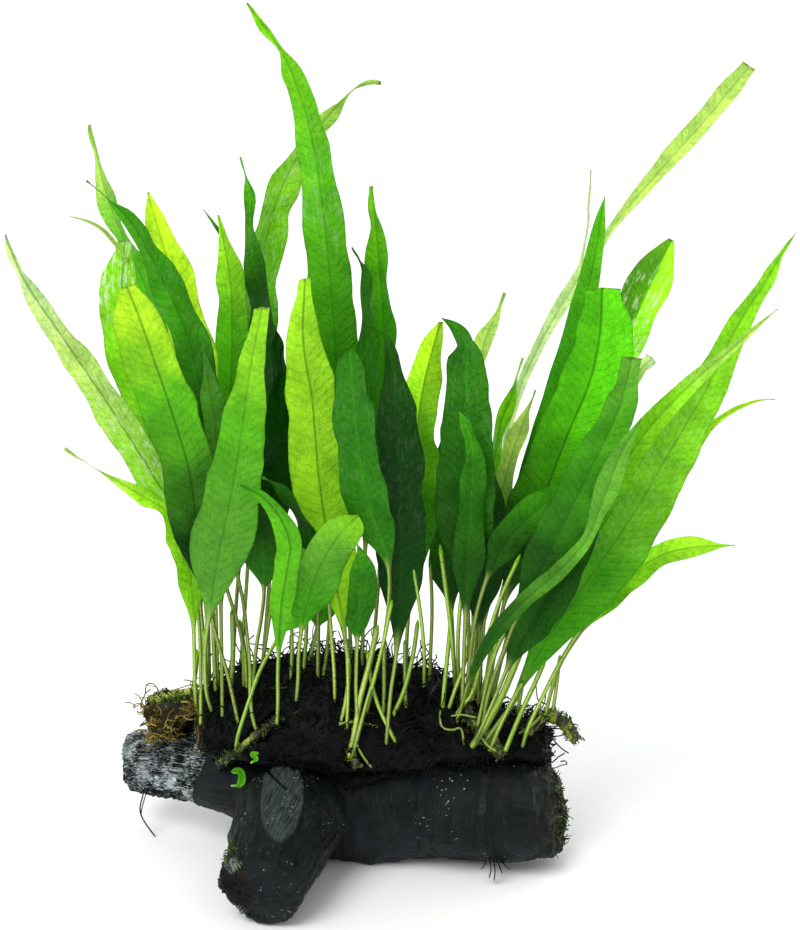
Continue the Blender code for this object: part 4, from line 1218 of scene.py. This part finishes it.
def wood_material(crack):
    """Near-black waterlogged wood: grain, green stains, wet charred bark with painted glints and specks
    of painted highlight, a paler sawn face, painted shade in its crack.
    """
    material, make, output = new_material("driftwood")
    place = make.node("ShaderNodeTexCoord").outputs["Object"]
    char, sawn, split, painted_glint, cap, mossy, painted_speck = [
        make.attribute(name) for name in ("char", "sawn", "split", "painted_glint", "cap", "moss", "painted_speck")]
    grain = make.attribute("grain", "Vector")
    stain = make.noise(place, 60.0, 4.0, 0.6)
    fine = make.noise(make.vector("MULTIPLY", grain, (0.22, 1.7, 1.0)), 1.0, 5.0, 0.62)
    fine = make.plus(make.times(fine, make.minus(1.0, cap)),
                     make.times(make.noise(place, 420.0, 5.0, 0.62), cap))
    colour = make.ramp(stain, ((0.28, (7, 11, 11)), (0.48, (17, 25, 24)),
                               (0.62, (24, 33, 32)), (0.78, (26, 44, 26))))
    colour = make.mix(make.spread(fine, 0.5, 0.75, 0.0, 0.5), colour, (50, 62, 58))
    broad = make.noise(make.vector("MULTIPLY", grain, (0.04, 0.30, 1.0)), 1.0, 4.0, 0.7)
    colour = make.mix(make.spread(broad, 0.32, 0.5, 0.85, 0.0), colour, (6, 9, 9))
    tinge = make.noise(place, 95.0, 2.0)
    colour = make.mix(make.spread(tinge, 0.55, 0.72, 0.0, 0.45), colour, (26, 32, 46))
    colour = make.mix(make.spread(tinge, 0.28, 0.42, 0.4, 0.0), colour, (38, 28, 24))
    # Darker towards the top of the wood: near black from about 36 mm up
    level = make.node("ShaderNodeSeparateXYZ", Vector=place).outputs[2]
    level = make.plus(level, make.times(make.minus(stain, 0.5), 0.02))
    colour = make.mix(make.spread(level, 0.027, 0.036, 0.0, 0.75), colour, (6, 10, 9))
    colour = make.mix(make.times(char, 0.7), colour, (7, 10, 12))
    moss = make.times(mossy, make.spread(make.noise(place, 300.0, 4.0), 0.4, 0.6))
    colour = make.mix(moss, colour, (50, 46, 28))
    face = make.mix(make.spread(fine, 0.35, 0.65), (30, 38, 36), (78, 88, 82))
    colour = make.mix(make.times(sawn, 0.75), colour, face)
    # Painted shade: the crack itself is carved, and its inside and the line across the knot are painted
    # near black
    colour = make.mix(make.times(split, 0.5), colour, (2, 3, 3))
    start, step = crack[0], across_sight(crack[1] - crack[0])
    gap = make.vector("SUBTRACT", place, tuple(start))
    depth = make.vector("DOT_PRODUCT", gap, tuple(FORWARD))
    gap = make.vector("SUBTRACT", gap, make.vector("SCALE", tuple(FORWARD), scale=depth))
    share = make.math("DIVIDE", make.vector("DOT_PRODUCT", gap, tuple(step)), step.length_squared,
                      clamp=True)
    foot = make.vector("SCALE", tuple(step), scale=share)
    off = make.vector("DISTANCE", gap, foot)
    off = make.plus(off, make.times(make.noise(place, 700.0, 2.0), 0.0004))
    near = make.times(make.spread(off, CRACK_HALF_WIDTH, 2 * CRACK_HALF_WIDTH, 1.0, 0.0),
                     make.math("LESS_THAN", make.math("ABSOLUTE", depth), KNOT_DEPTH))
    colour = make.mix(near, colour, (1, 2, 2))
    # Painted highlights: pale glints in flakes along the grain, and fine bright specks, painted into the
    # colour; the flakes also give the charred bark its bumps
    flakes = make.noise(make.vector("MULTIPLY", grain, (0.62, 1.9, 1.0)), 1.0, 4.0, 0.75, 0.9)
    flakes = make.plus(flakes, make.times(make.minus(make.noise(place, 150.0, 3.0), 0.5), 0.6))
    # Painted highlight: fine bright specks, as sparkle on the wet wood
    specks = make.times(make.spread(make.noise(place, 1150.0, 1.0), 0.70, 0.75), painted_speck)
    painted_shine = make.math("MAXIMUM", make.times(make.spread(flakes, 0.50, 0.57), painted_glint), specks)
    colour = make.mix(painted_shine, colour, (200, 214, 214))
    crumbs = make.noise(place, 900.0, 4.0, 0.7)
    height = make.plus(fine, make.times(crumbs, 0.5))
    height = make.plus(height, make.times(flakes, char))
    bump = make.node("ShaderNodeBump", Strength=0.8, Distance=0.0008, Height=height)
    wet = make.spread(make.noise(place, 160.0, 3.0), 0.35, 0.65)
    dry = make.minus(0.62, make.times(char, 0.34))
    rough = make.minus(dry, make.times(wet, 0.14), clamp=True)
    coat(make, output, colour, rough, Normal=bump.outputs[0], Specular_IOR_Level=0.12)
    return material


def root_material():
    """Fine roots, black-brown with a few reddish and golden ones among them."""
    material, make, output = new_material("roots")
    tone = make.attribute("tone")
    gold = make.attribute("gold")
    place = make.node("ShaderNodeTexCoord").outputs["Object"]
    # Roots darker low down and lighter towards the top, from 34 to 46 mm up
    high = make.spread(make.node("ShaderNodeSeparateXYZ", Vector=place).outputs[2], 0.034, 0.046)
    tone_here = make.times(tone, make.plus(make.times(high, 0.4), 0.6))
    reddish = make.spread(make.noise(place, 75.0, 2.0), 0.42, 0.58, 0.82, 1.0)
    reddish = make.times(tone_here, reddish)
    colour = make.ramp(reddish, ((0.0, (2, 6, 5)), (0.6, (7, 13, 10)),
                                 (0.84, (20, 20, 13)), (0.95, (56, 36, 24)),
                                 (1.0, (86, 64, 38))))
    golden = make.ramp(tone, ((0.0, (58, 46, 16)), (0.4, (122, 104, 40)),
                              (1.0, (196, 178, 96))))
    colour = make.mix(gold, colour, golden)
    grime = make.noise(place, 700.0, 3.0)
    colour = make.mix(make.spread(grime, 0.45, 0.75, 0.0, 0.5), colour, (5, 9, 7))
    bump = make.node("ShaderNodeBump", Strength=0.5, Distance=0.0002, Height=grime)
    coat(make, output, colour, 0.55, Normal=bump.outputs[0], Specular_IOR_Level=0.10)
    return material


def tube(make, curve, taper, radius, around):
    """A closed tube of this radius around a curve, with a share of it at each place."""
    curve = make.node("GeometryNodeSetCurveRadius", Curve=curve, Radius=taper).outputs[0]
    ring = make.node("GeometryNodeCurvePrimitiveCircle", {"mode": "RADIUS"}, Resolution=around,
                     Radius=radius).outputs[0]
    return make.node("GeometryNodeCurveToMesh", Curve=curve, Profile_Curve=ring,
                     Fill_Caps=True).outputs[0]


def tangle_tree():
    """Scatters curling roots over a surface."""
    tree, make, given = new_tree("tangle", {
        "Density": "Float", "Reach": "Float", "Radius": "Float", "Curl": "Float", "Points": "Int",
        "Seed": "Int", "Surface": "Material"})
    spots = make.node("GeometryNodeDistributePointsOnFaces", {"distribute_method": "RANDOM"},
                      Mesh=given["Geometry"], Density=given["Density"], Seed=given["Seed"])
    line = make.node("GeometryNodeCurvePrimitiveLine", {"mode": "POINTS"}, Start=(0, 0, 0),
                     End=(0, 0, 1))
    strand = make.node("GeometryNodeResampleCurve", {"mode": "COUNT"}, Curve=line.outputs[0],
                       Count=given["Points"]).outputs[0]
    lean = make.node("FunctionNodeRandomValue", {"data_type": "FLOAT_VECTOR"}, Min=(-1.7, -1.7, 0.0),
                     Max=(1.7, 1.7, 6.28), Seed=given["Seed"]).outputs[0]
    spin = make.node("FunctionNodeRotateRotation", {"rotation_space": "LOCAL"},
                     Rotation=spots.outputs["Rotation"], Rotate_By=lean).outputs[0]
    size = make.node("FunctionNodeRandomValue", {"data_type": "FLOAT"}, Min=0.4, Max=1.3).outputs[1]
    length = make.times(size, given["Reach"])
    placed = make.node("GeometryNodeInstanceOnPoints", Points=spots.outputs["Points"], Instance=strand,
                       Rotation=spin, Scale=make.combine(length, length, length)).outputs[0]
    tone = make.node("FunctionNodeRandomValue", {"data_type": "FLOAT"}, Min=0.0, Max=1.0,
                     Seed=7).outputs[1]
    placed = store(make, placed, "tone", tone, "INSTANCE")
    real = make.node("GeometryNodeRealizeInstances", Geometry=placed).outputs[0]
    factor = make.node("GeometryNodeSplineParameter").outputs["Factor"]
    place = make.node("GeometryNodeInputPosition").outputs[0]
    drift = make.noise(place, 130.0, 2.0, output=1)
    drift = make.vector("SUBTRACT", drift, (0.5, 0.5, 0.5))
    push = make.times(factor, given["Curl"])
    bent = make.node("GeometryNodeSetPosition", Geometry=real,
                     Offset=make.vector("SCALE", drift, scale=push)).outputs[0]
    taper = make.spread(factor, 0.0, 1.0, 1.0, 0.45, smooth=False)
    close_tree(make, tube(make, bent, taper, given["Radius"], 4), given["Surface"])
    return tree


def copied(node):
    """A merged copy of a CAD node's mesh."""
    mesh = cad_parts[node].data.copy()
    bm = bmesh.new()
    bm.from_mesh(mesh)
    bmesh.ops.remove_doubles(bm, verts=bm.verts, dist=0.01 * MM)
    bm.to_mesh(mesh)
    bm.free()
    return mesh


def add_roots(name, mesh, tree, rule, seed, material):
    """Roots that grow from a mesh by one of the rules above."""
    slope, height, density, reach, radius, curl, points = rule
    base = faces_without(mesh, lambda face: face.normal.z < slope
                         or face.calc_center_median().z < height)
    return grown(name, base, tree, density=density, reach=reach * MM, radius=radius * MM,
                 curl=curl * MM, points=points, seed=seed, surface=material)


def make_mats(tree, material):
    """The root mats: a dark lumpy core, short roots all over it and wiry ones on top."""
    for k, (node, rule) in enumerate(SHORT_ROOTS.items()):
        core = linked(node + "_core", copied(node))
        remesh = core.modifiers.new("close", "REMESH")
        remesh.mode = "VOXEL"
        remesh.voxel_size = MAT_VOXEL
        with_modifiers(core)
        spots, normals = points_of(core.data)
        shrink = LEFT_MAT_SHRINK if node == "root_mat_left" else 0.0
        place_points(core.data, [lifted(
            spot, n, noise.fractal(spot * 260, 0.8, 2.1, 4) * MM
            - shrink * smoothstep(LEFT_MAT_TOP - spot.z, 0, 5 * MM)
            - LIP_SHRINK * smoothstep(LIP_TOP - spot.z, 0, 9 * MM), 0.2 * MM)
            for spot, n in zip(spots, normals)])
        core.data.materials.clear()
        core.data.materials.append(material)
        core.data.shade_smooth()
        short = add_roots(node + "_roots", core.data, tree, rule, 3 + k, material)
        wiry = add_roots(node + "_wiry_roots", core.data, tree, WIRY_ROOTS, 13 + k, material)
        for piece, most in ((core, 0.45), (short, 0.95), (wiry, 0.95)):
            spots = np.empty(len(piece.data.vertices) * 3)
            piece.data.vertices.foreach_get("co", spots)
            left = np.clip((GOLD_FROM - spots.reshape(-1, 3)[:, 0]) / GOLD_OVER, 0, 1)
            keep(piece.data, "gold", (left * most).astype(np.float32))
            settled(piece, "roots", node)


def faces_without(mesh, left_out):
    """A copy of the mesh without the faces that a test leaves out."""
    bm = bmesh.new()
    bm.from_mesh(mesh)
    bmesh.ops.delete(bm, geom=[face for face in bm.faces if left_out(face)], context="FACES")
    patch = bpy.data.meshes.new("patch")
    bm.to_mesh(patch)
    bm.free()
    return patch


def stem_tree():
    """Grows a knobbly creeping stem along a line."""
    tree, make, given = new_tree("creeping_stem", {
        "Radius": "Float", "Knobs": "Float", "Stations": "Int", "Around": "Int",
        "Surface": "Material"})
    spine = make.node("GeometryNodeMeshToCurve", Mesh=given["Geometry"]).outputs[0]
    spine = make.node("GeometryNodeResampleCurve", {"mode": "COUNT"}, Curve=spine,
                      Count=given["Stations"]).outputs[0]
    factor = make.node("GeometryNodeSplineParameter").outputs["Factor"]
    ends = make.times(make.spread(factor, 0.0, 0.08, 0.45, 1.0),
                     make.spread(factor, 0.9, 1.0, 1.0, 0.45))
    stem = tube(make, spine, ends, given["Radius"], given["Around"])
    place = make.node("GeometryNodeInputPosition").outputs[0]
    normal = make.node("GeometryNodeInputNormal").outputs[0]
    lumps = make.minus(make.noise(place, 330.0, 3.0), 0.5)
    scars = make.spread(make.cells(place, 420.0), 0.0, 0.5, 0.25, -0.2)
    lift = make.times(make.plus(lumps, scars), given["Knobs"])
    knobbly = make.node("GeometryNodeSetPosition", Geometry=stem,
                        Offset=make.vector("SCALE", normal, scale=lift)).outputs[0]
    close_tree(make, knobbly, given["Surface"])
    return tree


def mossy_faces(mesh):
    """A copy of the wood's skin with only the faces where moss grows."""
    moss = np.empty(len(mesh.vertices))
    mesh.attributes["moss"].data.foreach_get("value", moss)
    return faces_without(mesh, lambda face: moss[face.verts[0].index] < MOSSY
                         or face.calc_center_median().z < MOSS_FROM)


def moss_material():
    """Tufts of moss, dark to fresh green."""
    material, make, output = new_material("moss")
    colour = make.ramp(make.attribute("tone"), (
        (0.0, (20, 22, 10)), (0.45, (44, 50, 18)), (0.8, (66, 96, 26)),
        (1.0, (132, 160, 52))))
    coat(make, output, colour, 0.6, Specular_IOR_Level=0.15)
    return material


def rhizome_material():
    """Green-brown creeping stem with darker scales."""
    material, make, output = new_material("rhizome")
    place = make.node("ShaderNodeTexCoord").outputs["Object"]
    scale = make.spread(make.cells(place, 520.0), 0.15, 0.45)
    colour = make.mix(scale, (62, 58, 28), (24, 22, 12))
    moss = make.plus(make.noise(place, 190.0, 3.0), make.times(make.attribute("fresh"), 0.3))
    moss = make.spread(moss, 0.56, 0.72)
    green = make.mix(make.noise(place, 420.0, 2.0), (66, 96, 22), (186, 196, 74))
    colour = make.mix(moss, colour, green)
    bump = make.node("ShaderNodeBump", Strength=0.7, Distance=0.0004,
                     Height=make.noise(place, 900.0, 4.0))
    coat(make, output, colour, 0.5, Normal=bump.outputs[0])
    return material


def make_rhizomes(material, tangle, wood):
    """The creeping stems with their moss, and the moss on the wood."""
    tree = stem_tree()
    moss = moss_material()
    film = grown("driftwood_moss", mossy_faces(wood.data), tangle, density=WOOD_MOSS, reach=1.1 * MM,
                 radius=0.14 * MM, curl=MOSS_CURL, points=4, seed=60, surface=moss)
    settled(film, "rhizome")
    for k, (name, (radius, fresh, points)) in enumerate(RHIZOMES.items()):
        line = curve_through([sighted(column, row, depth * MM) for column, row, depth in points], 30)
        stem = grown(name + "_stem", line_mesh(name, line), tree, radius=radius * MM, knobs=1.1 * MM,
                     stations=60, around=24, surface=material)
        keep(stem.data, "fresh", np.full(len(stem.data.vertices), fresh, np.float32))
        settled(stem, "rhizome", name)
        tuft = grown(name + "_moss", stem.data.copy(), tangle, density=MOSS_TUFTS * (0.3 + fresh),
                     reach=1.15 * MM, radius=0.13 * MM, curl=MOSS_CURL, points=4, seed=40 + k,
                     surface=moss)
        settled(tuft, "rhizome")


def make_stage():
    """Pale floor, white surroundings and soft studio lights."""
    mesh = bpy.data.meshes.new("floor")
    mesh.from_pydata([(x * FLOOR_REACH, y * FLOOR_REACH, 0)
                      for x, y in ((-1, -1), (1, -1), (1, 1), (-1, 1))], [], [(0, 1, 2, 3)])
    floor = linked("floor", mesh)
    material, make, output = new_material("floor")
    coat(make, output, FLOOR_TONE, 1.0)
    mesh.materials.append(material)
    world = bpy.data.worlds.new("white_room")
    world.use_nodes = True
    world.node_tree.nodes["Background"].inputs["Color"].default_value = (1, 1, 1, 1)
    world.node_tree.nodes["Background"].inputs["Strength"].default_value = ROOM_STRENGTH
    bpy.context.scene.world = world
    for name, towards, power, spread in LIGHTS:
        lamp = bpy.data.lights.new(name, "SUN")
        lamp.energy = power
        lamp.angle = math.radians(spread)
        holder = bpy.data.objects.new(name, lamp)
        holder.rotation_euler = Vector(towards).to_track_quat("Z", "Y").to_euler()
        bpy.context.scene.collection.objects.link(holder)
    bpy.context.scene.view_settings.view_transform = "Standard"


def make_camera():
    """The camera, where the sketch sheet is seen from."""
    lens = bpy.data.cameras.new("camera")
    lens.lens = SENSOR * (SIGHT_DISTANCE / (SHEET_ROWS * PIXEL))
    lens.sensor_width = SENSOR
    lens.clip_start = 0.01
    camera = bpy.data.objects.new("camera", lens)
    camera.location = EYE
    camera.rotation_euler = FORWARD.to_track_quat("-Z", "Y").to_euler()
    bpy.context.scene.collection.objects.link(camera)
    bpy.context.scene.camera = camera


def bvh(node):
    """A CAD node's surface, for lines of sight."""
    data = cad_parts[node].data
    return BVHTree.FromPolygons([v.co for v in data.vertices], [p.vertices for p in data.polygons])


def main():
    """Builds the stage and then the plant, from the fronds to the moss."""
    carriers = [bvh(node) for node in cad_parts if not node.startswith(("frond", "plantlet"))]
    wood = [bvh(node) for node in WOOD_NODES]
    make_camera()
    make_stage()
    tree = frond_tree()
    make_fronds(tree, carriers)
    make_plantlets(tree, carriers)
    roots = root_material()
    make_stalks(tree, carriers, roots)
    skin = make_wood(wood)
    tangle = tangle_tree()
    make_mats(tangle, roots)
    make_rhizomes(rhizome_material(), tangle, skin)


main()
